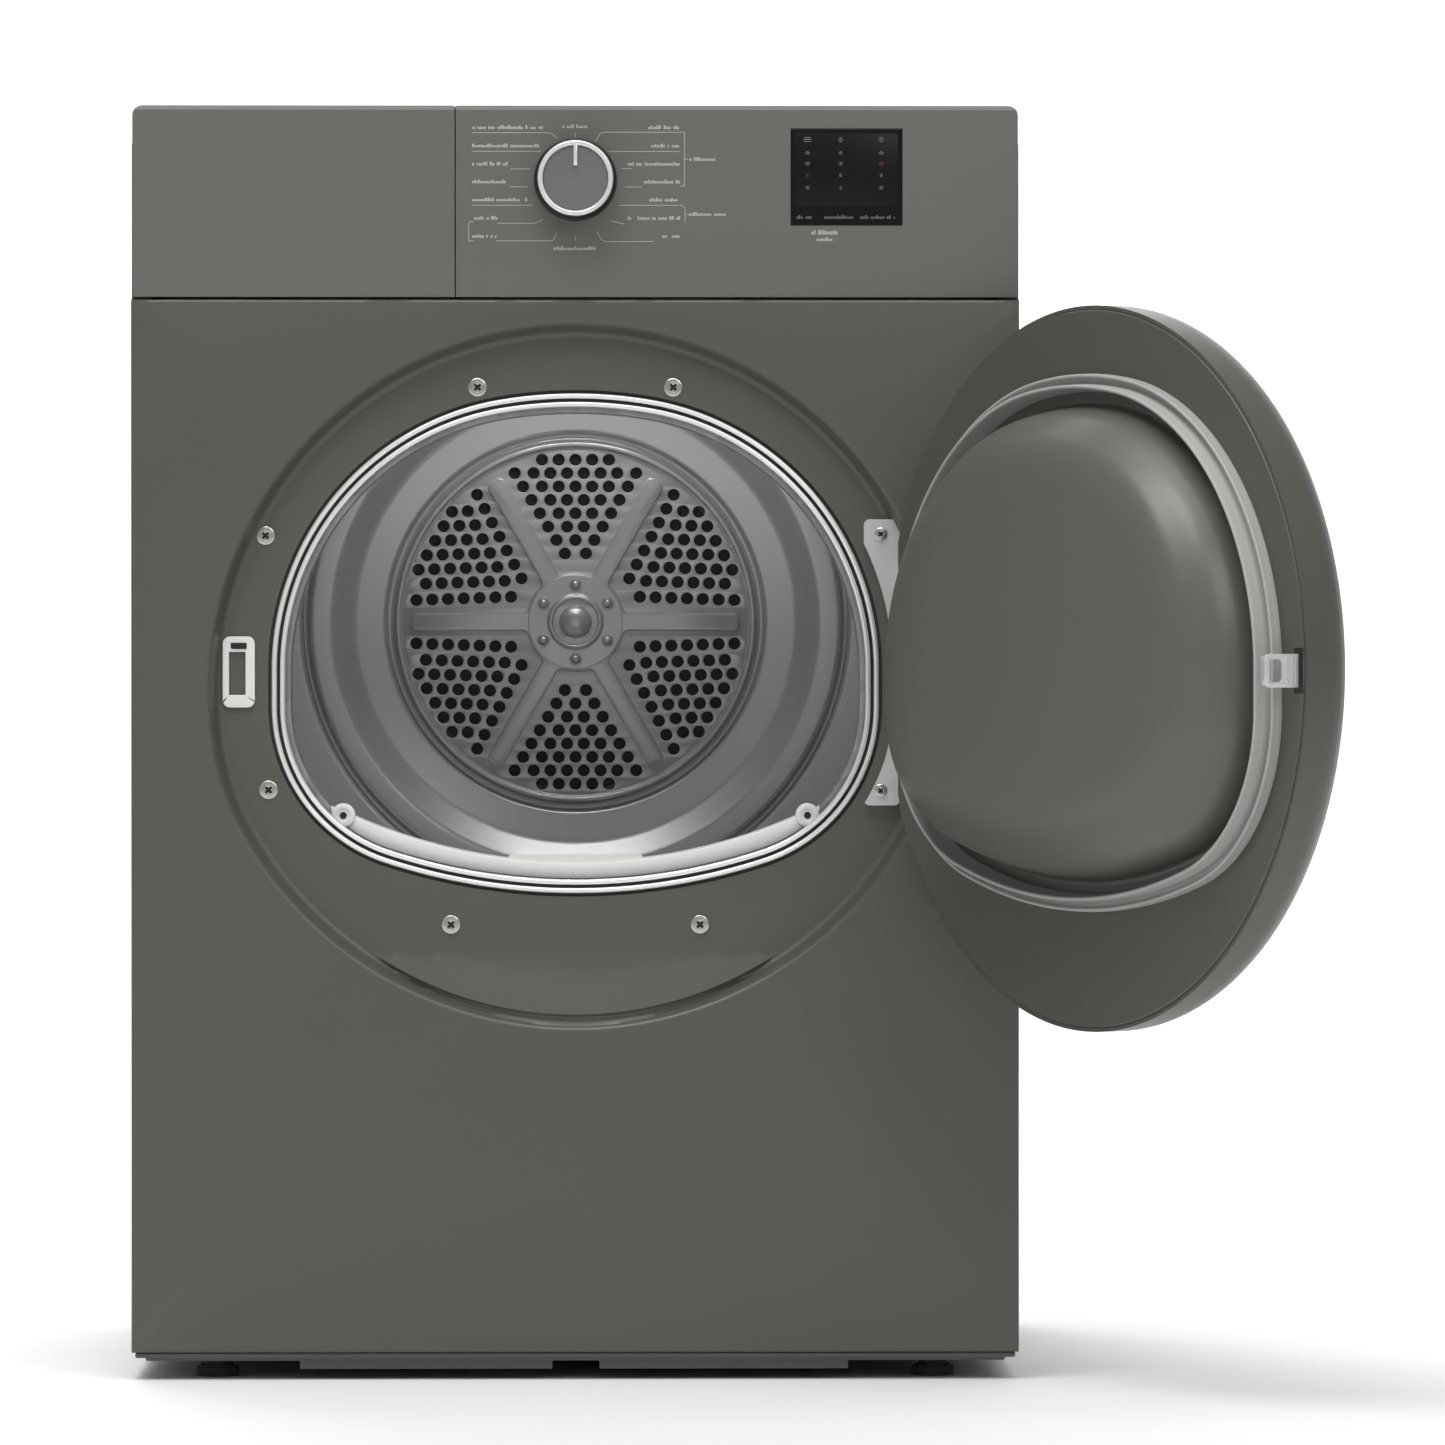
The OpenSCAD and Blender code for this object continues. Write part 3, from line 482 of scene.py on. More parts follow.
def galvanisedFinish():
    # zinc spangle: flat crystals of slightly different brightness
    paint = Paint("galvanised")
    crystals = paint.add("ShaderNodeTexVoronoi", {},
                         {"Vector": paint.place, "Scale": 95.0, "Randomness": 1.0}, out="Color")
    level = paint.add("ShaderNodeRGBToBW", {}, {0: crystals})
    streak = paint.noise(9, 5)
    base = paint.mix(level * 0.6 + streak * 0.4, tone(150, 152, 153), tone(196, 197, 196))
    return paint.surface({"Base Color": base, "Metallic": 0.85, "Roughness": 0.32 + level * 0.16,
                          "Normal": paint.bump(level * 0.3 + paint.noise(900, 2) * 0.1, 5e-5, 0.3)})


def drumFinish():
    # rolled sheet with a faint circular grain about the drum's axis
    paint = Paint("drum_steel")
    x, y, z = paint.axes()
    radius = (x * x + (z - drumZ) * (z - drumZ)) ** 0.5
    ringPlace = paint.add("ShaderNodeCombineXYZ", inputs={0: radius, 1: y, 2: 0.0})
    rings = paint.noise(420, 3, 0.6, place=ringPlace)
    fine = paint.noise(1600, 2, 0.6)
    cloud = paint.noise(11, 3)
    base = paint.mix(rings * 0.4 + cloud * 0.6, tone(176, 177, 177), tone(206, 206, 205))
    return paint.surface({"Base Color": base, "Metallic": 0.6, "Roughness": 0.32 + (rings - 0.5) * 0.1
                          + cloud * 0.08,
                          "Normal": paint.bump(rings * 0.7 + fine * 0.3, 3e-5, 0.35)})


def brightFinish():
    paint = Paint("bright_trim")
    cloud = paint.noise(30, 3)
    fine = paint.noise(1500, 2)
    base = paint.mix(cloud, tone(234, 234, 233), tone(244, 244, 243))
    return paint.surface({"Base Color": base, "Metallic": 0.55, "Roughness": 0.22 + cloud * 0.06
                          + (fine - 0.5) * 0.03,
                          "Normal": paint.bump(fine, 2e-6, 0.1)})


def turnedSteelFinish(name, colour, scale):
    # lathe marks along Y and light pitting
    paint = Paint(name)
    marks = paint.noise(1, 2, 0.5, place=paint.stretched((40, scale, 40)))
    pits = paint.noise(1300, 2)
    base = paint.mix(marks * 0.6 + pits * 0.4, shaded(colour, 0.85), shaded(colour, 1.12))
    return paint.surface({"Base Color": base, "Metallic": 0.95, "Roughness": 0.28 + (marks - 0.5) * 0.15,
                          "Normal": paint.bump(marks * 0.7 + pits * 0.3, 3e-5, 0.3)})


def feltFinish():
    paint = Paint("felt")
    fibre = paint.noise(1, 4, 0.7, place=paint.stretched((900, 250, 900)))
    tuft = paint.noise(220, 4, 0.6)
    base = paint.mix(fibre * 0.5 + tuft * 0.5, tone(178, 172, 158), tone(224, 220, 208))
    return paint.surface({"Base Color": base, "Roughness": 0.95, "Sheen Weight": 0.4,
                          "Normal": paint.bump(fibre + tuft, 6e-4, 0.7)})


def boardFinish():
    # green board with fine copper lines under the mask
    paint = Paint("circuit_board")
    tracks = paint.add("ShaderNodeTexBrick", {}, {"Vector": paint.place, "Scale": 160.0, "Mortar Size": 0.03,
                                                  "Color1": (0, 0, 0, 1), "Color2": (0.2, 0.2, 0.2, 1),
                                                  "Mortar": (1, 1, 1, 1)}, out="Fac")
    base = paint.mix(tracks, tone(22, 84, 50), tone(52, 122, 70))
    return paint.surface({"Base Color": base, "Roughness": 0.35 + paint.noise(200, 2) * 0.15,
                          "Normal": paint.bump(tracks, 3e-5, 0.4)})


def knobFinish():
    # a grey face on a near-black barrel
    paint = Paint("knob_plastic")
    x, _, z = paint.axes()
    low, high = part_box("knob")
    middle = (low.z + high.z) / 2
    barrel = ((x * x + (z - middle) * (z - middle)) ** 0.5).above(0.0218, 0.0002)
    grain = paint.noise(2500, 2, 0.6)
    face = paint.mix(grain, tone(100, 100, 99), tone(108, 108, 107))
    side = paint.mix(grain, tone(24, 24, 23), tone(32, 32, 31))
    return paint.surface({"Base Color": paint.mix(barrel, face, side), "Roughness": 0.42
                          + (grain - 0.5) * 0.1,
                          "Normal": paint.bump(grain, 2e-5, 0.25)})


def lensFinish():
    paint = Paint("lamp_lens")
    prism = paint.noise(500, 2)
    base = paint.mix(prism, tone(225, 225, 220), tone(245, 245, 240))
    return paint.surface({"Base Color": base, "Roughness": 0.25 + prism * 0.2, "IOR": 1.49, "Alpha": 0.8,
                          "Normal": paint.bump(prism, 2e-4, 0.5)})


finishes = {name: plainFinish(name, look) for name, look in plainFinishes.items()}
finishes["galvanised"] = galvanisedFinish()
finishes["drum_steel"] = drumFinish()
finishes["bright_trim"] = brightFinish()
finishes["machined_steel"] = turnedSteelFinish("machined_steel", tone(184, 184, 183), 900)
finishes["screw_steel"] = turnedSteelFinish("screw_steel", tone(192, 192, 186), 600)
finishes["felt"] = feltFinish()
finishes["circuit_board"] = boardFinish()
finishes["lamp_lens"] = lensFinish()
finishes["knob_plastic"] = knobFinish()
print("finishes", len(finishes))


# The CAD nodes that stay: finish and softened edges
edgeLook = dict(width=0.5 * mm, segments=2, angle=32, weld=2e-6)
softNodes = {"worktop": 1.6 * mm, "base_tray": 0.9 * mm, "control_fascia": 1.2 * mm, "blank_fascia": 1.2 * mm,
             "hinge_plate": 0.8 * mm, "levelling_feet": 0.8 * mm}
for entry in record["subparts"]:
    node = frame["nodes"][entry["node"]]
    material = finishes[entry["material_slot"]]
    if node.material_slots:
        for place in node.material_slots:
            place.material = material
    else:
        node.data.materials.append(material)
    weld = node.modifiers.new("weld", "WELD")
    weld.merge_threshold = edgeLook["weld"]
    bevel = node.modifiers.new("softEdge", "BEVEL")
    bevel.width = softNodes.get(entry["node"], edgeLook["width"])
    bevel.segments = edgeLook["segments"]
    bevel.limit_method = "ANGLE"
    bevel.angle_limit = math.radians(edgeLook["angle"])
    bevel.use_clamp_overlap = True
    bevel.harden_normals = False
    normals = node.modifiers.new("evenNormals", "WEIGHTED_NORMAL")
    normals.keep_sharp = False
    normals.weight = 80
print("cad nodes", len(record["subparts"]))
slotOf = {entry["node"]: entry["material_slot"] for entry in record["subparts"]}


def smoothPath(points, each=6):
    # a Catmull-Rom curve through the points
    ends = [points[0]] + points + [points[-1]]
    path = []
    for k in range(1, len(ends) - 2):
        a, b, c, d = ends[k - 1:k + 3]
        for i in range(each):
            t = i / each
            path.append(tuple(0.5 * (2 * q + (r - p) * t + (2 * p - 5 * q + 4 * r - w) * t * t
                                     + (3 * q - p - 3 * r + w) * t ** 3) for p, q, r, w in zip(a, b, c, d)))
    return path + [points[-1]]


def roundedPath(points, radius, steps=4):
    # an open path with each corner eased over radius
    path = [points[0]]
    for a, b, c in zip(points, points[1:], points[2:]):
        before, after = math.dist(a, b), math.dist(b, c)
        cut = min(radius, 0.45 * before, 0.45 * after)
        start = [b[i] + (a[i] - b[i]) * cut / before for i in (0, 1)]
        end = [b[i] + (c[i] - b[i]) * cut / after for i in (0, 1)]
        for i in range(steps + 1):
            t = i / steps
            path.append(tuple((1 - t) ** 2 * start[j] + 2 * t * (1 - t) * b[j] + t * t * end[j]
                              for j in (0, 1)))
    return path + [points[-1]]


def inMm(points):
    return [tuple(v * mm for v in point) for point in points]


# The front panel: rolled edges, a dished recess, a ramp at its foot and a rolled mouth
panelShape = dict(edgeRoll=2.2 * mm, rim=2.6 * mm, rimRoll=4.2 * mm, wall=-4.4 * mm, fillet=5.0 * mm,
                  rampTop=288 * mm, rampFoot=245.6 * mm, rampRise=12.8 * mm, groove=4.5 * mm,
                  grooveWidth=2.5 * mm)


def buildFrontPanel():
    s = panelShape
    half = panelHigh.x
    rings = []
    for angle in (-1, 0, 30, 60, 90):
        inset = s["edgeRoll"] * (1 - math.cos(math.radians(max(angle, 0))))
        depth = s["edgeRoll"] * (1 - math.sin(math.radians(max(angle, 0))))
        y = frontY + 12 * mm if angle < 0 else frontY + depth
        rings.append(atDepth(boxRing(half - inset, panelLow.z + inset, panelHigh.z - inset), y))
    rimY = frontY + s["rimRoll"]
    for angle in (0, 15, 30, 45, 60, 72):
        grow = s["rim"] - s["rimRoll"] * math.sin(math.radians(angle))
        rings.append(atDepth(recessRing(grow), rimY - s["rimRoll"] * math.cos(math.radians(angle))))
    for angle in (0, 20, 45, 70, 90):
        grow = s["wall"] - s["fillet"] * (1 - math.cos(math.radians(angle)))
        rings.append(atDepth(recessRing(grow), floorY - s["fillet"] * (1 - math.sin(math.radians(angle)))))
    rampEdge = s["wall"] - s["fillet"]
    wallFoot, nearMouth = recessRing(rampEdge - 0.2 * mm), mouthRing(5.6 * mm)
    for share in (0, 0.12, 0.3, 0.6, 1):
        blend = [(a * (1 - share) + b * share, c * (1 - share) + d * share)
                 for (a, c), (b, d) in zip(wallFoot, nearMouth)]
        rings.append(atDepth(blend, floorY))
    for grow, depth in ((4.6, 0.3), (3.8, 2.4), (2.6, 3.0), (1.4, 1.2), (0.4, 0.2), (0, 0.8), (0, 12)):
        rings.append(atDepth(mouthRing(grow * mm), floorY + depth * mm))
    panel = loft("frontPanel", rings)
    bm = bmesh.new()
    bm.from_mesh(panel.data)
    bmesh.ops.bisect_plane(bm, geom=bm.verts[:] + bm.edges[:] + bm.faces[:], dist=1e-6,
                           plane_co=(0, 0, s["rampTop"]), plane_no=(0, 0, 1))
    for vert in bm.verts:
        out = recessDistance(vert.co.x, vert.co.z)
        if vert.co.z < s["rampTop"] and out < s["wall"] + 1e-5:
            share = (s["rampTop"] - vert.co.z) / (s["rampTop"] - s["rampFoot"])
            dip = s["groove"] * min(max((out - rampEdge) / s["grooveWidth"], 0), 1)
            vert.co.y = min(vert.co.y, floorY - s["rampRise"] * share + dip)
    bm.to_mesh(panel.data)
    bm.free()
    panel.data.set_sharp_from_angle(angle=math.radians(30))
    settle(panel, "cabinet", "cabinet_paint", ["front_panel"])


def buildMouthTrim():
    # two bright rolls with a black strip sunk between them, which stands in for the shade in the groove (painted
    # shade)
    outer, inner = dict(at=0.55, y=-256.3, r=1.75), dict(at=-5.1, y=-255.7, r=1.75)
    shift = floorY / mm - drawnFloorY
    profile = [(2.3, -256.02)]
    profile += arc(outer["at"], outer["y"], outer["r"], 0, -180, 12)
    profile += [(-1.3, -252.8), (-3.3, -252.8)]
    profile += arc(inner["at"], inner["y"], inner["r"], 0, -180, 12)
    profile += [(-6.9, -249.5), (-6.3, -249.4), (-6.2, -252.6), (-0.3, -252.8), (-0.3, -255.9)]
    trim = sweepMouth("mouthTrim", inMm([(g, y + shift) for g, y in profile]), sharp=60)
    settle(trim, "cabinet", "bright_trim", ["mouth_trim"])
    # black strip in the groove between the rolls: painted shade
    grooveShadeProfile = [(-1.22, -252.9), (-1.22, -254.2), (-2.3, -254.5), (-3.34, -254.2), (-3.34, -252.9)]
    strip = sweepMouth("trimGrooveShade", inMm([(g, y + shift) for g, y in grooveShadeProfile]))
    settle(strip, "cabinet", "key_black")


# The crescent that closes the foot of the mouth, with a screwed tab at each end and room for the filter
crescentLook = dict(frontGrow=-6.9 * mm, grow=-10.7 * mm, arcZ=720.8 * mm, arcR=372.8 * mm, front=-241 * mm,
                    back=-199 * mm,
                    pocketFront=-234 * mm, pocketBack=-204.5 * mm, pocketHalf=87 * mm, frontEnd=165 * mm,
                    end=159 * mm,
                    tabX=157 * mm, tabZ=380 * mm, tabR=8.2 * mm)


def mouthFoot(x, grow):
    low, high = 0.3, doorZ
    for _ in range(halvings):
        mid = (low + high) / 2
        if mouthDistance(x, mid) < grow:
            high = mid
        else:
            low = mid
    return high


def crescentPart(x0, x1, y0, y1, grow, soft, steps=72):
    s = crescentLook
    sections = []
    for i in range(steps + 1):
        x = x0 + (x1 - x0) * i / steps
        top = s["arcZ"] - math.sqrt(s["arcR"] ** 2 - x * x)
        foot = min(mouthFoot(x, grow), top - 1.2 * mm)
        cut = min(soft, (top - foot) / 3)
        outline = [(y0 + cut, foot), (y0 + cut * 0.3, foot + cut * 0.3), (y0, foot + cut), (y0, top - cut),
                   (y0 + cut * 0.3, top - cut * 0.3), (y0 + cut, top), (y1 - cut, top),
                   (y1 - cut * 0.3, top - cut * 0.3),
                   (y1, top - cut), (y1, foot + cut), (y1 - cut, foot)]
        sections.append([(x, y, z) for y, z in outline])
    return loft("crescentPart", sections, capFirst=True, capLast=True)


def buildBezel():
    s = crescentLook
    parts = [crescentPart(-s["frontEnd"], s["frontEnd"], s["front"], s["pocketFront"], s["frontGrow"],
                          1.6 * mm),
             crescentPart(-s["end"], s["end"], s["pocketBack"], s["back"], s["grow"], 0.8 * mm)]
    for side in (-1, 1):
        ends = sorted((side * s["pocketHalf"], side * s["end"]))
        parts.append(crescentPart(*ends, s["pocketFront"], s["pocketBack"], s["grow"], 0.2 * mm, 24))
        r = s["tabR"] / mm
        tab = [(r, -238.6), (r, -241.6), (r - 0.4, -242.4), (r - 1.2, -242.7), (4.4, -242.5), (3.6, -241.9),
               (0.0, -241.9), (0.0, -238.6)]
        parts.append(turnedPiece("tab", inMm(tab), side * s["tabX"], s["tabZ"], steps=48))
    settle(joined("mouthCrescent", parts), "cabinet", "filter_white", ["filter_bezel"])
    # black discs in the tab hollows stand in for the shade in the screw holes (painted shade)
    shadeDiscs = [turnedPiece("tabHoleShade", inMm([(2.4, -241.8), (2.4, -242.1), (0.0, -242.1), (0.0, -241.8)]),
                        side * s["tabX"],
                        s["tabZ"], steps=28) for side in (-1, 1)]
    settle(joined("tabHoleShades", shadeDiscs), "cabinet", "key_black")


buildFrontPanel()
buildMouthTrim()
print("front panel and mouth trim")


# The drum's back: stepped rings round a perforated disc with a pressed six-spoke star
drumBackLook = dict(disc=126.4, thick=1.2, hole=4.35, pitch=12.2, rowGap=9.75, firstRow=49.8, splay=1.6,
                    holeEdge=0.45, spokeWidth=13.0, spokeEnd=119.0, spokeTip=4.0, hubR=36.0, press=3.0,
                    pressEdge=1.2,
                    bore=9.2, rows=8, lastRowHoles=5)
spokes, spokeTurn = 6, 60
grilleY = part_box("drum_back")[1].y - 3.2 * mm
backSteps = [(125.6, 0), (126.6, 0), (127.8, 3.4), (130.6, 3.6), (132.4, -2), (137, -2.2), (138.6, 4.6),
             (142, 5.4),
             (161, 10), (177, 24), (192.5, 26), (194.6, 20.6), (197.4, 20.6), (199.4, 26.6), (284, 29)]


def starOutline(s):
    half = s["spokeWidth"] / 2
    points = []
    for k in range(spokes):
        turn = math.radians(spokeTurn * k)
        base = math.asin((half + 2.5) / s["hubR"])
        foot = math.sqrt(s["hubR"] ** 2 - (half + 2.5) ** 2)
        end, tip = s["spokeEnd"], s["spokeTip"]
        edge = [(foot, -half - 2.5), (foot + 1.2, -half - 0.9), (foot + 3.2, -half)]
        edge += arc(end - tip, -half + tip, tip, -90, 0, 5) + arc(end - tip, half - tip, tip, 0, 90, 5)
        edge += [(foot + 3.2, half), (foot + 1.2, half + 0.9), (foot, half + 2.5)]
        points += [(u * math.cos(turn) - v * math.sin(turn), u * math.sin(turn) + v * math.cos(turn)) for u,
                   v in edge]
        sweep = math.radians(60) - 2 * base
        for i in range(1, 6):
            a = turn + base + sweep * i / 6
            points.append((s["hubR"] * math.cos(a), s["hubR"] * math.sin(a)))
    return points


def buildDrumBack():
    s = drumBackLook
    lift = lambda points: [(x * mm, drumZ + z * mm) for x, z in points]
    ringOf = lambda x, z, r, n: [(x + r * math.cos(2 * math.pi * i / n), z
                                  + r * math.sin(2 * math.pi * i / n))
                                 for i in range(n)]
    holes = [lift(ringOf(0, 0, s["bore"], 48))]
    for k in range(spokes):
        turn = math.radians(spokeTurn * k)
        for row in range(s["rows"]):
            full = row < s["rows"] - 1
            last = row + 1 if full else s["lastRowHoles"] - 1
            for i in range(last + 1):
                x, z = (i - last / 2) * s["pitch"], s["firstRow"] + s["rowGap"] * row
                if full and i in (0, last):
                    x += math.copysign(s["splay"], x)
                u, v = x * math.cos(turn) - z * math.sin(turn), x * math.sin(turn) + z * math.cos(turn)
                holes.append(lift(ringOf(u, v, s["hole"], 20)))
    disc = flatSheet("drumDisc", lift(ringOf(0, 0, s["disc"], 160)), holes, grilleY, grilleY
                     + s["thick"] * mm,
                     bevel=s["holeEdge"] * mm, sharp=50)
    star = flatSheet("drumStar", lift(starOutline(s)), [lift(ringOf(0, 0, s["bore"], 48))],
                     grilleY - s["press"] * mm,
                     grilleY + 0.3 * mm, bevel=s["pressEdge"] * mm, sharp=60)
    path = roundedPath([(r * mm, grilleY - d * mm) for r, d in backSteps], 3 * mm)
    rear = [(r, y + s["thick"] * mm) for r, y in reversed(path)]
    steps = turnedPiece("drumSteps", path + rear, 0, drumZ, steps=192)
    settle(joined("drumBack", [disc, star, steps]), "drum", slotOf["drum_back"], ["drum_back"])
    # a black disc just behind the grille stands in for the shade seen through its holes (painted shade)
    shade = turnedPiece("grilleHoleShade", inMm([(31, 229.2), (122, 229.2), (122, 229.8), (31, 229.8)]), 0, drumZ)
    settle(shade, "drum", "key_black")


def buildHub():
    y0 = grilleY / mm - 3.0
    profile = [(36, y0 + 2.9), (35.0, y0 + 0.3), (34.0, y0 - 0.3), (20.4, y0 - 0.3), (19.4, y0 - 1.6),
               (18.4, y0 - 2.3), (17.2, y0 - 2.2), (16.4, y0 - 1.2), (15.8, y0 + 2.0), (12.6, y0 + 2.2),
               (11.8, y0 - 0.4), (10.8, y0 - 3.2), (9.2, y0 - 5.2), (6.0, y0 - 6.8), (3.0, y0 - 7.6),
               (0.0, y0 - 7.8)]
    body = turnedPiece("hubBody", inMm(roundedPath(profile, 0.8, 3) + [(0.0, y0 + 2.9)]), 0, drumZ,
                       steps=96, sharp=70)
    rivets = []
    for k in range(spokes):
        a = math.radians(30 + 60 * k)
        rivet = [(4.6, y0 - 0.2), (4.4, y0 - 1.2), (3.4, y0 - 1.5), (3.1, y0 - 1.0), (2.5, y0 - 2.3),
                 (1.5, y0 - 3.0),
                 (0.0, y0 - 3.2), (0.0, y0 - 0.2)]
        rivets.append(turnedPiece("rivet", inMm(rivet), 27 * mm * math.cos(a), drumZ
                                  + 27 * mm * math.sin(a), steps=28))
    settle(joined("drumHub", [body] + rivets), "drum", slotOf["drum_hub"], ["drum_hub"])


buildDrumBack()
buildHub()
print("drum back and hub")


# The door's inner side: a flat flange and a deep soft bulge, with the seal round it
bulgePath = [(-9.0, 0.0), (-11.0, 0.4), (-12.4, 2.4), (-13.8, 9), (-16.6, 19), (-20.6, 28), (-27.4, 36.5),
             (-36, 44.6), (-48, 49.6), (-64, 51.6), (-86, 52)]
bulgeColour = tone(90, 91, 85)


def buildDoorInner():
    r, chord = doorR - 2.9 * mm, hinge.x - 7.5 * mm
    cut = lambda ring: [(min(x, chord), z) for x, z in ring]
    rings = [atDepth(cut(circleRing(r)), doorInnerY - 2.4 * mm),
             atDepth(cut(circleRing(r)), doorInnerY - 0.5 * mm),
             atDepth(cut(circleRing(r - 0.5 * mm)), doorInnerY)]
    outer, inner = circleRing(r - 1.5 * mm), mouthRing(-2 * mm)
    for share in (0, 0.3, 0.65, 1):
        rings.append(atDepth(cut([(a + (b - a) * share, c + (d - c) * share) for (a, c),
                                  (b, d) in zip(outer, inner)]),
                             doorInnerY))
    rings.append(atDepth(mouthRing(bulgePath[0][0] * mm), doorInnerY))
    flange = loft("doorFlange", rings, move=swing, sharp=50)
    settle(flange, "door", "door_plastic", ["door_inner"])
    rings = [atDepth(mouthRing(grow * mm), doorInnerY + depth * mm) for grow,
             depth in smoothPath(bulgePath, 5)]
    bulge = loft("doorBulge", rings, capLast=True, move=swing, sharp=50)
    settle(bulge, "door", "door_plastic", ["door_inner"])
    bulge.data.materials[0] = plainFinish("doorBulge",
                                          dict(plainFinishes["door_plastic"], colour=bulgeColour))


def buildGasket():
    profile = [(8.2, -275.0), (8.4, -273.4), (7.9, -271.6), (8.0, -268.8)] + arc(6.9, -268.5, 1.15, 0, 180, 8)
    profile += [(5.6, -270.0), (4.9, -271.2), (4.0, -271.9), (2.4, -271.9), (1.5, -270.4), (1.1, -263.0)]
    profile += arc(-0.3, -260.4, 1.25, 0, 180, 8) + [(-1.9, -264.0), (-2.2, -271.4), (-3.4, -273.2),
                                                     (-3.4, -275.0)]
    seal = sweepMouth("doorSeal", inMm([(g, y - drawnInnerY + doorInnerY / mm) for g, y in profile]),
                      move=swing, sharp=60)
    settle(seal, "door", "gasket_rubber", ["door_gasket"])


hookLook = dict(x=-227.0, z=478.6, thick=2.4, base=-286.0, tip=-248.2, half=10.6, corner=4.5,
                windowStart=-262.4, windowEnd=-251.4, windowHalf=7.2)


def roundedBox(x0, x1, z0, z1, r, n=5):
    return (arc(x1 - r, z0 + r, r, -90, 0, n) + arc(x1 - r, z1 - r, r, 0, 90, n)
            + arc(x0 + r, z1 - r, r, 90, 180, n) + arc(x0 + r, z0 + r, r, 180, 270, n))


def buildHook():
    s = hookLook
    shift = doorInnerY / mm - drawnInnerY
    turn = swing @ Matrix.Translation((s["x"] * mm, shift * mm, 0)) @ Matrix.Rotation(math.radians(90), 4,
                                                                                      "Z")
    plate = flatSheet("hookPlate", inMm(roundedBox(s["base"], s["tip"], s["z"] - s["half"], s["z"]
                                                   + s["half"], s["corner"])),
                      [inMm(roundedBox(s["windowStart"], s["windowEnd"], s["z"] - s["windowHalf"],
                                       s["z"] + s["windowHalf"], 2.6))],
                      -s["thick"] / 2 * mm, s["thick"] / 2 * mm, bevel=0.5 * mm, move=turn, sharp=50)
    parts = [plate]
    for y0, y1, grow in ((-251.6, -248.2, 1.4), (-266.6, -264.6, 0.5), (-270.4, -269.6, 0.35),
                         (-273.2, -272.4, 0.35)):
        low = (s["x"] - s["thick"] / 2 - grow, y0 + shift, s["z"] - s["half"] + 1.5)
        high = (s["x"] + s["thick"] / 2 + grow, y1 + shift, s["z"] + s["half"] - 1.5)
        parts.append(softBlock("hookRib", [v * mm for v in low], [v * mm for v in high], 0.5 * mm,
                               move=swing))
    settle(joined("latchHook", parts), "latch", "hinge_metal", ["latch_hook"])
    # a thin black sheet on the door round the hook's foot stands in for the shade inside its slot (painted shade)
    slot = softBlock("latchSlotShade", [v * mm for v in (s["x"] - 5.6, -275.5 + shift, s["z"] - 14.4)],
                     [v * mm for v in (s["x"] + 3.6, -274.78 + shift, s["z"] + 14.4)], 0.2 * mm, move=swing)
    settle(slot, "door", "key_black")


buildDoorInner()
buildGasket()
buildHook()
print("door inside, seal and hook")


# The dial
knobLow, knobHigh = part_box("knob")
knobX, knobZ = 0.0, (knobLow.z + knobHigh.z) / 2
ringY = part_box("knob_ring")[0].y
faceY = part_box("control_fascia")[0].y


def buildKnob():
    skirt = knobHigh.x / mm
    y = ringY / mm
    profile = [(skirt - 0.6, -276.5), (skirt, -277.0), (skirt - 0.3, -278.4), (26.4, -279.6), (25.7, -281.0),
               (25.3, -285.0), (25.3, y + 3.2), (25.2, y + 2.3), (21.9, y + 2.3), (21.5, y + 1.9),
               (20.6, y + 1.7),
               (12.0, y + 2.1), (0.0, y + 2.3), (0.0, -276.5)]
    body = turnedPiece("knobBody", inMm(roundedPath(profile, 0.5, 3)), knobX, knobZ, steps=128)
    settle(body, "knob", "knob_plastic", ["knob"])
    ring = [(25.4, y + 2.3)] + arc(23.6, y + 1.5, 1.75, 20, -200, 16) + [(21.8, y + 2.3)]
    parts = [turnedPiece("knobRing", inMm([(r, max(v, y)) for r, v in ring]), knobX, knobZ, steps=128,
                         sharp=60)]
    parts.append(softBlock("pointer", [v * mm for v in (-1.25, y + 0.5, knobZ / mm + 8.4)],
                           [v * mm for v in (1.25, y + 2.4, knobZ / mm + 22.6)], 0.4 * mm))
    settle(joined("knobTrim", parts), "knob", "bright_trim", ["knob_ring"])


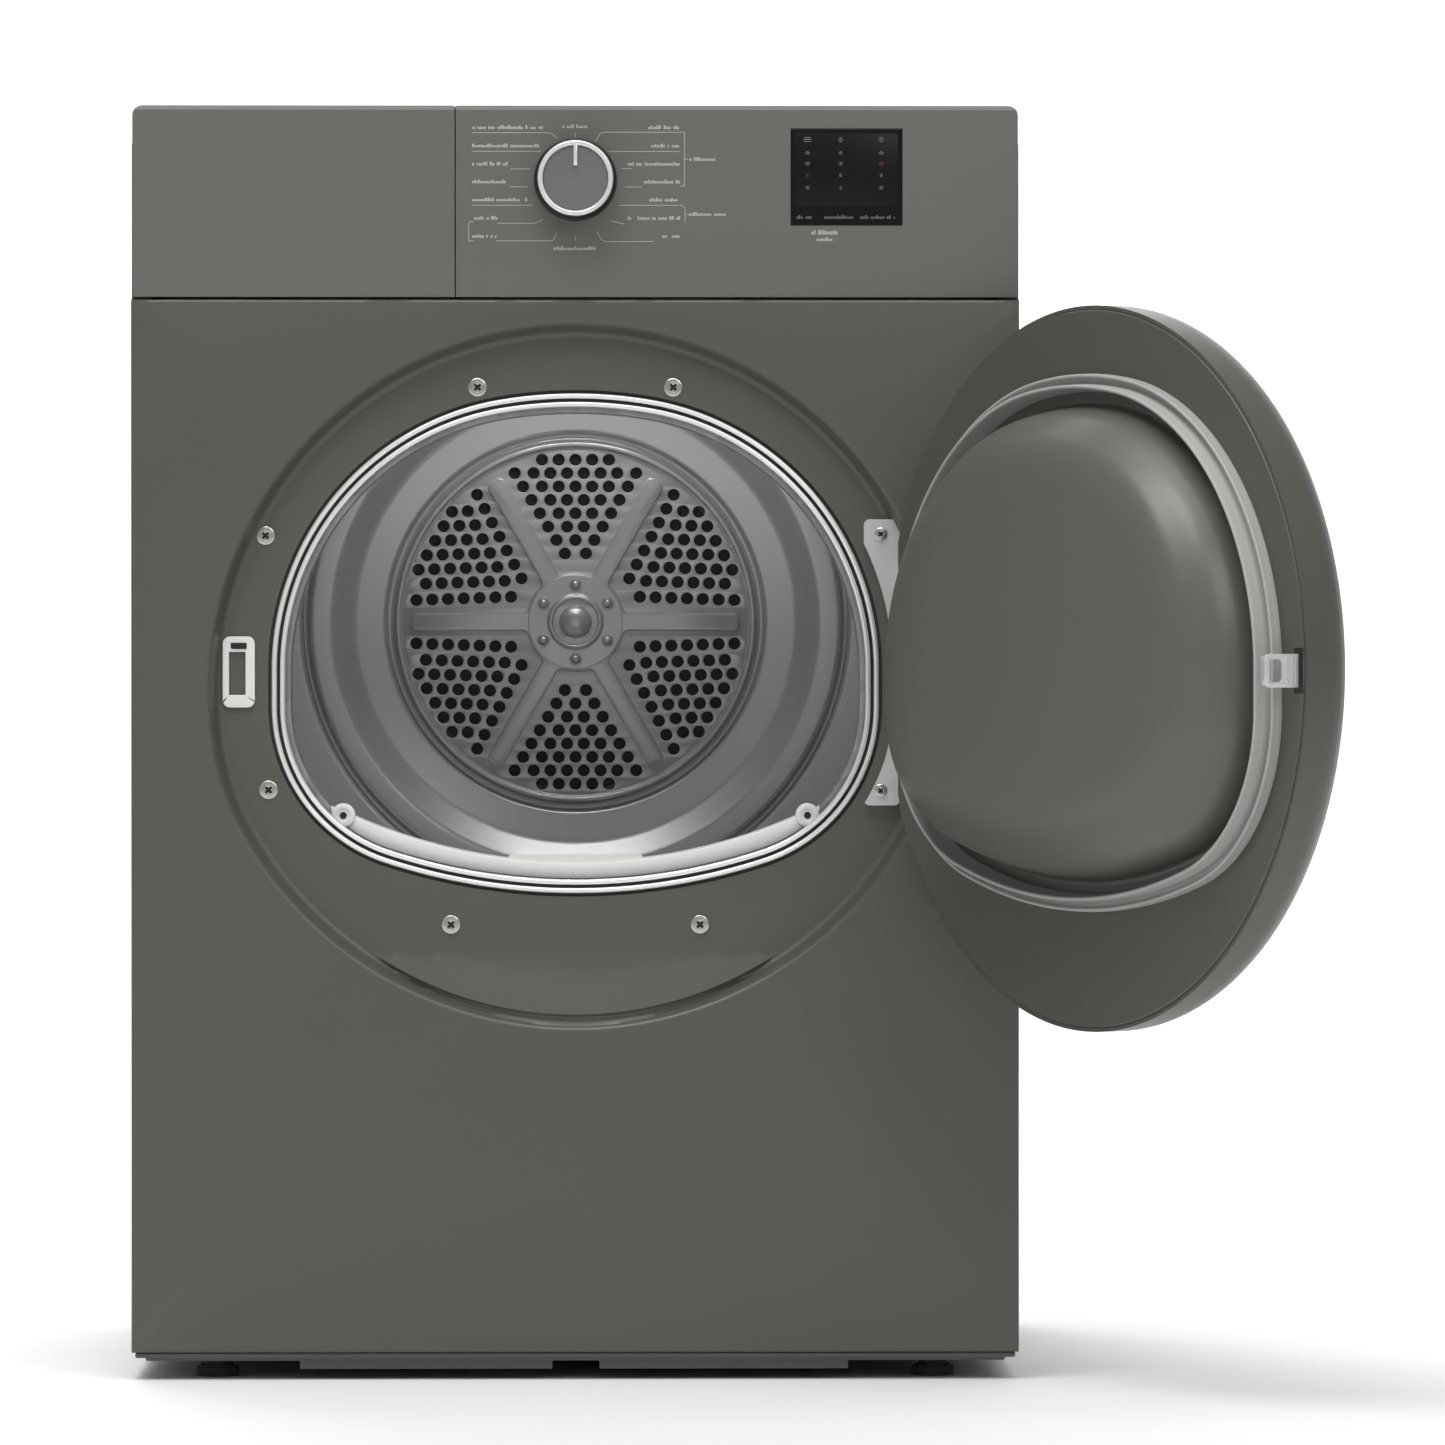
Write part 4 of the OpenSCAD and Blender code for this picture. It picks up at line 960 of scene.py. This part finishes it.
# Printed rows and leader lines about the dial, in mm from its middle; words are rows of plain strokes
legendLook = dict(thick=0.08, line=0.45, dim=(0.42, 0.42, 0.40))
legendWords = [(-69.4, -21.3, 35.1), (-69.4, -23.1, 22.8), (-69.4, -43.5, 10.6), (-69.4, -45.9, -1.4),
               (-69.4, -32.1, -13.5), (-69.4, -51.3, -25.8), (-69.4, -51.9, -37.9), (49.0, 70.7, 35.1),
               (50.8, 70.7, 22.8), (35.2, 70.7, 10.6), (46.0, 70.7, -1.4), (49.6, 70.7, -13.5),
               (35.2, 70.7, -25.8),
               (56.9, 71.3, -37.9), (76.7, 95.3, 13.8), (76.1, 103.1, -23.1), (-8.7, 8.8, 35.8),
               (-14.7, 16.0, -46.2)]
legendLines = [
    [(-69.4, 31.5), (-17.6, 31.5), (-15.2, 30.6), (-12.3, 27.6)], [(-69.4, 19.0), (-23.0, 19.0)],
    [(-43.5, 7.2), (-30.3, 7.2)], [(-43.5, -4.8), (-32.1, -4.8)], [(-69.4, -17.2), (-28.6, -17.2)],
    [(-51.9, -29.4), (-27.9, -29.4), (-21.9, -26.9)],
    [(-53.0, -41.1), (-15.8, -41.1), (-14.2, -39.8), (-12.9, -35.5)],
    [(-68.6, -28.2), (-70.8, -28.2), (-71.8, -29.6), (-71.8, -41.1), (-68.0, -41.1)],
    [(73.3, 31.9), (18.8, 31.9), (16.6, 31.2), (13.6, 25.8)], [(70.7, 19.0), (22.6, 19.0)],
    [(38.2, 7.5), (31.0, 7.5)],
    [(44.2, -4.8), (33.4, -4.8)], [(71.5, -17.2), (29.2, -17.2)], [(32.8, -29.8), (23.8, -27.6)],
    [(52.6, -41.5), (19.8, -41.5), (18.0, -40.6), (14.2, -34.9)],
    [(73.3, 31.9), (73.3, -4.2), (70.7, -4.2)], [(73.3, 13.8), (75.9, 13.8)],
    [(71.5, -17.2), (73.7, -18.8), (73.7, -28.8)], [(73.7, -23.1), (75.4, -23.1)],
    [(0, 31.4), (0, 28.6)], [(0, -38.2), (0, -41.2)]]


def strip(x0, z0, x1, z1, width, y, thick):
    # a thin raised bar from one point to another; returns verts and faces
    a = math.atan2(z1 - z0, x1 - x0)
    dx, dz = -math.sin(a) * width / 2, math.cos(a) * width / 2
    corners = [(x0 + dx, z0 + dz), (x1 + dx, z1 + dz), (x1 - dx, z1 - dz), (x0 - dx, z0 - dz)]
    verts = [(x, y - thick, z) for x, z in corners] + [(x, y + thick, z) for x, z in corners]
    faces = [(0, 1, 2, 3), (7, 6, 5, 4), (0, 4, 5, 1), (1, 5, 6, 2), (2, 6, 7, 3), (3, 7, 4, 0)]
    return verts, faces


def printedPiece(name, strips, y, thick):
    verts, faces = [], []
    for x0, z0, x1, z1, width in strips:
        v, f = strip(x0, z0, x1, z1, width, y, thick)
        faces += [tuple(i + len(verts) for i in face) for face in f]
        verts += v
    return newPiece(name, verts, faces)


def wordStrokes(x0, x1, z, height, stroke):
    # plain upright dashes of uneven width and height, like print too small to read
    strokes = []
    x = x0
    while x < x1 - stroke:
        width = stroke * rng.uniform(0.7, 1.25)
        tall = height * rng.choice((0.62, 0.62, 0.7, 1.0))
        if rng.random() > 0.12:
            base = z - height * 0.45
            strokes.append((x, base + tall / 2, min(x + width, x1), base + tall / 2, tall))
        x += width + stroke * 0.3
    return strokes


def inkFinish(name, colour, rough=0.5, gloss=0.5):
    paint = Paint(name)
    wear = paint.noise(700, 3)
    base = paint.mix(wear, shaded(colour, 0.85), shaded(colour, 1.1))
    return paint.surface({"Base Color": base, "Roughness": rough + (wear - 0.5) * 0.1,
                          "Specular IOR Level": gloss, "Normal": paint.bump(wear, 1e-5, 0.2)})


def buildLegends():
    s = legendLook
    strips = []
    for x0, x1, z in legendWords:
        strips += wordStrokes(x0, x1, z, 2.5, 1.15)
    for line in legendLines:
        strips += [(*a, *b, s["line"]) for a, b in zip(line, line[1:])]
    placed = [(knobX + a * mm, knobZ + b * mm, knobX + c * mm, knobZ + d * mm, w * mm) for a, b, c, d,
              w in strips]
    legend = printedPiece("dialLegend", placed, faceY, s["thick"] * mm)
    settle(legend, "cabinet", "fascia_plastic")
    legend.data.materials[0] = inkFinish("legendInk", s["dim"])


# The display: a black window with a lit field of small marks, and a name strip below it
displayLook = dict(x=182.3, z=810.0, columns=(-26.2, -3.9, 23.4), rows=(25.1, 16.2, 8.9, 1.1, -7.3),
                   footer=-27.1, under=-37.4)


def buildDisplay():
    s = displayLook
    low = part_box("display_window")[0]
    x, z = s["x"] * mm, s["z"] * mm
    field = softBlock("displayField", (x - 34.6 * mm, low.y - 0.05 * mm, z - 19.6 * mm),
                      (x + 34.6 * mm, low.y + 0.4 * mm, z + 29.2 * mm), 0.15 * mm)
    settle(field, "cabinet", "display_gloss")
    field.data.materials[0] = inkFinish("displayFieldBlack", (0.0055, 0.0055, 0.006), 0.35, 0.2)
    dim, red = [], []
    for column, cx in enumerate(s["columns"]):
        for row, cz in enumerate(s["rows"]):
            big = 1.35 if row == 0 else 0.9
            target = red if (column, row) in ((0, 3), (2, 2)) else dim
            bars = rng.choice(((-1.6, 1.6, 0.8), (-1.2, 1.2, 1.0), (-2.0, 2.0, 0.6)))
            for k in (-1, 0, 1):
                reach = bars[1] * (1 if k == 0 else rng.uniform(0.45, 0.95)) * big
                target.append((cx - reach, cz + k * 0.95 * big, cx + reach, cz + k * 0.95 * big, 0.55 * big))
    for x0, x1 in ((-35.0, -22.2), (-14.9, 4.6), (9.1, 33.6)):
        dim += wordStrokes(x0, x1, s["footer"], 2.4, 1.1)
    for name, strips, colour in (("displayMarks", dim, (0.11, 0.11, 0.11)),
                                 ("displayRed", red, (0.09, 0.018, 0.012))):
        placed = [(x + a * mm, z + b * mm, x + c * mm, z + d * mm, w * mm) for a, b, c, d, w in strips]
        marks = printedPiece(name, placed, low.y - 0.05 * mm, 0.05 * mm)
        settle(marks, "cabinet", "display_gloss")
        marks.data.materials[0] = inkFinish(name + "Ink", colour)
    under = wordStrokes(-25.0, -4.0, s["under"], 3.0, 1.3) + wordStrokes(-20.0, -8.4, s["under"] - 4.6, 2.6,
                                                                         1.2)
    placed = [(x + a * mm, z + b * mm, x + c * mm, z + d * mm, w * mm) for a, b, c, d, w in under]
    mark = printedPiece("underDisplayMark", placed, faceY, legendLook["thick"] * mm)
    settle(mark, "cabinet", "fascia_plastic")
    mark.data.materials[0] = bpy.data.materials["legendInk"]


buildKnob()
buildLegends()
buildDisplay()
print("dial, legends and display")


# Screws with cross recesses
screwLook = dict(recess=[(-66, 669), (66, 669), (-209, 569), (-207, 397.5), (-84, 306.6), (84, 306.6)],
                 recessR=6.2, hingeX=206, hingeZ=(570, 397), hingeR=4.4,
                 backX=(-280, 280), backZ=(40, 300, 560, 815), backR=4.9)


def crossOutline(reach, half):
    points = []
    for k in range(4):
        a = math.radians(90 * k + 45)
        c, s = math.cos(a), math.sin(a)
        for u, v in ((half, -half), (reach, -half * 0.8), (reach, half * 0.8)):
            points.append((u * c - v * s, u * s + v * c))
    return points


def screwHead(x, z, y, radius, facing=-1):
    # flange, domed head and a cross recess; facing is -1 to the front and 1 to the back
    f = facing
    flange = [(radius, y), (radius, y + f * 0.7), (radius * 0.9, y + f * 1.05), (radius * 0.7, y + f * 1.15),
              (0.0, y + f * 1.15), (0.0, y)]
    parts = [turnedPiece("flange", inMm(flange), x * mm, z * mm, steps=36)]
    ring = [(radius * 0.64 * math.cos(2 * math.pi * i / 36), radius * 0.64 * math.sin(2 * math.pi * i / 36))
            for i in range(36)]
    place = lambda points: [((x + a) * mm, (z + b) * mm) for a, b in points]
    ends = sorted((y + f * 1.1, y + f * 2.5))
    parts.append(flatSheet("head", place(ring), [place(crossOutline(radius * 0.45, radius * 0.15))],
                           ends[0] * mm, ends[1] * mm, bevel=0.3 * mm, sharp=50))
    return parts


def screwRecessShade(x, z, y, radius, facing=-1):
    # a black disc at the bottom of the recess stands in for the shade inside it (painted shade)
    r, ends = radius * 0.5, sorted((y + facing * 1.1, y + facing * 1.3))
    return turnedPiece("cup", inMm([(r, ends[0]), (0.0, ends[0]), (0.0, ends[1]), (r, ends[1])]), x * mm,
                       z * mm, steps=24)


def buildScrews():
    s = screwLook
    floor = floorY / mm
    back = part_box("back_panel")[1].y / mm
    places = [(x, z, floor - 0.02, s["recessR"], -1) for x, z in s["recess"]]
    places += [(s["hingeX"], z, floor - 6.03, s["hingeR"], -1) for z in s["hingeZ"]]
    places += [(x, z, back + 0.03, s["backR"], 1) for x in s["backX"] for z in s["backZ"]]
    heads, shadeDiscs = [], []
    for place in places:
        heads += screwHead(*place)
        shadeDiscs.append(screwRecessShade(*place))
    settle(joined("screwHeads", heads), "cabinet", "screw_steel", ["panel_screws"])
    # black discs in the cross recesses: painted shade
    settle(joined("screwRecessShades", shadeDiscs), "cabinet", "key_black")


buildBezel()
buildScrews()
print("crescent and screws")


# Camera, light and floor
cameraLook = dict(distance=6.0, height=0.489, aimX=0.099, aimDrop=0.046, lens=222.0)
cameraData = bpy.data.cameras.new("camera")
cameraData.lens = cameraLook["lens"]
cameraData.sensor_width = 36
camera = bpy.data.objects.new("camera", cameraData)
bpy.context.scene.collection.objects.link(camera)
bpy.context.scene.camera = camera
camera.location = (0, frontY - cameraLook["distance"], cameraLook["height"])
aim = Vector((cameraLook["aimX"], frontY, cameraLook["height"] - cameraLook["aimDrop"]))
camera.rotation_euler = (aim - camera.location).to_track_quat("-Z", "Y").to_euler()

lightLook = [
    # name, place, aim, width, height, watts
    ("keySoft", (-0.7, -2.3, 4.1), (0, 0, 0.45), 2.6, 1.8, 80),
    ("fillSoft", (2.0, -3.6, 2.9), (0, 0, 0.45), 1.8, 1.8, 30),
    ("topSoft", (0.0, -0.9, 3.2), (0, -0.2, 0.5), 2.4, 2.0, 30),
    ("backSoft", (-0.8, 3.0, 2.6), (0, 0, 0.5), 2.2, 1.8, 45),
    ("wallWash", (0.0, 2.2, 3.6), (0, 4.4, 1.4), 5.0, 0.8, 130),
    ("drumLeft", (-0.045, 0.09, 0.782), (-0.06, 0.12, 0.25), 0.03, 0.12, 0.2),
    ("drumRight", (0.045, 0.09, 0.782), (0.06, 0.12, 0.25), 0.03, 0.12, 0.2),
]
for name, place, target, width, height, watts in lightLook:
    lamp = bpy.data.lights.new(name, "AREA")
    lamp.shape = "RECTANGLE"
    lamp.size, lamp.size_y = width, height
    lamp.energy = watts
    holder = bpy.data.objects.new(name, lamp)
    holder.location = place
    holder.rotation_euler = (Vector(target) - Vector(place)).to_track_quat("-Z", "Y").to_euler()
    bpy.context.scene.collection.objects.link(holder)

skyStrength = 0.38
world = bpy.data.worlds.new("studio")
bpy.context.scene.world = world
world.use_nodes = True
world.node_tree.nodes["Background"].inputs[0].default_value = (1, 1, 1, 1)
world.node_tree.nodes["Background"].inputs[1].default_value = skyStrength
bpy.context.scene.view_settings.view_transform = "Standard"


def studioFloor():
    # a pale sheet that curves up behind the object
    profile = [(-9.0, 0.0), (3.2, 0.0)] + arc(3.2, 1.2, 1.2, -90, 0, 14)[1:] + [(4.4, 6.0)]
    verts = [(x, y, z) for x in (-9.0, 9.0) for y, z in profile]
    count = len(profile)
    faces = [(i, i + 1, count + i + 1, count + i) for i in range(count - 1)]
    floor = newPiece("studioFloor", verts, faces)
    paint = Paint("studioFloorPaint")
    base = paint.mix(paint.noise(6, 3), tone(243, 243, 243), tone(247, 247, 247))
    floor.data.materials.append(paint.surface({"Base Color": base, "Roughness": 0.8}))


studioFloor()
print("stage set")
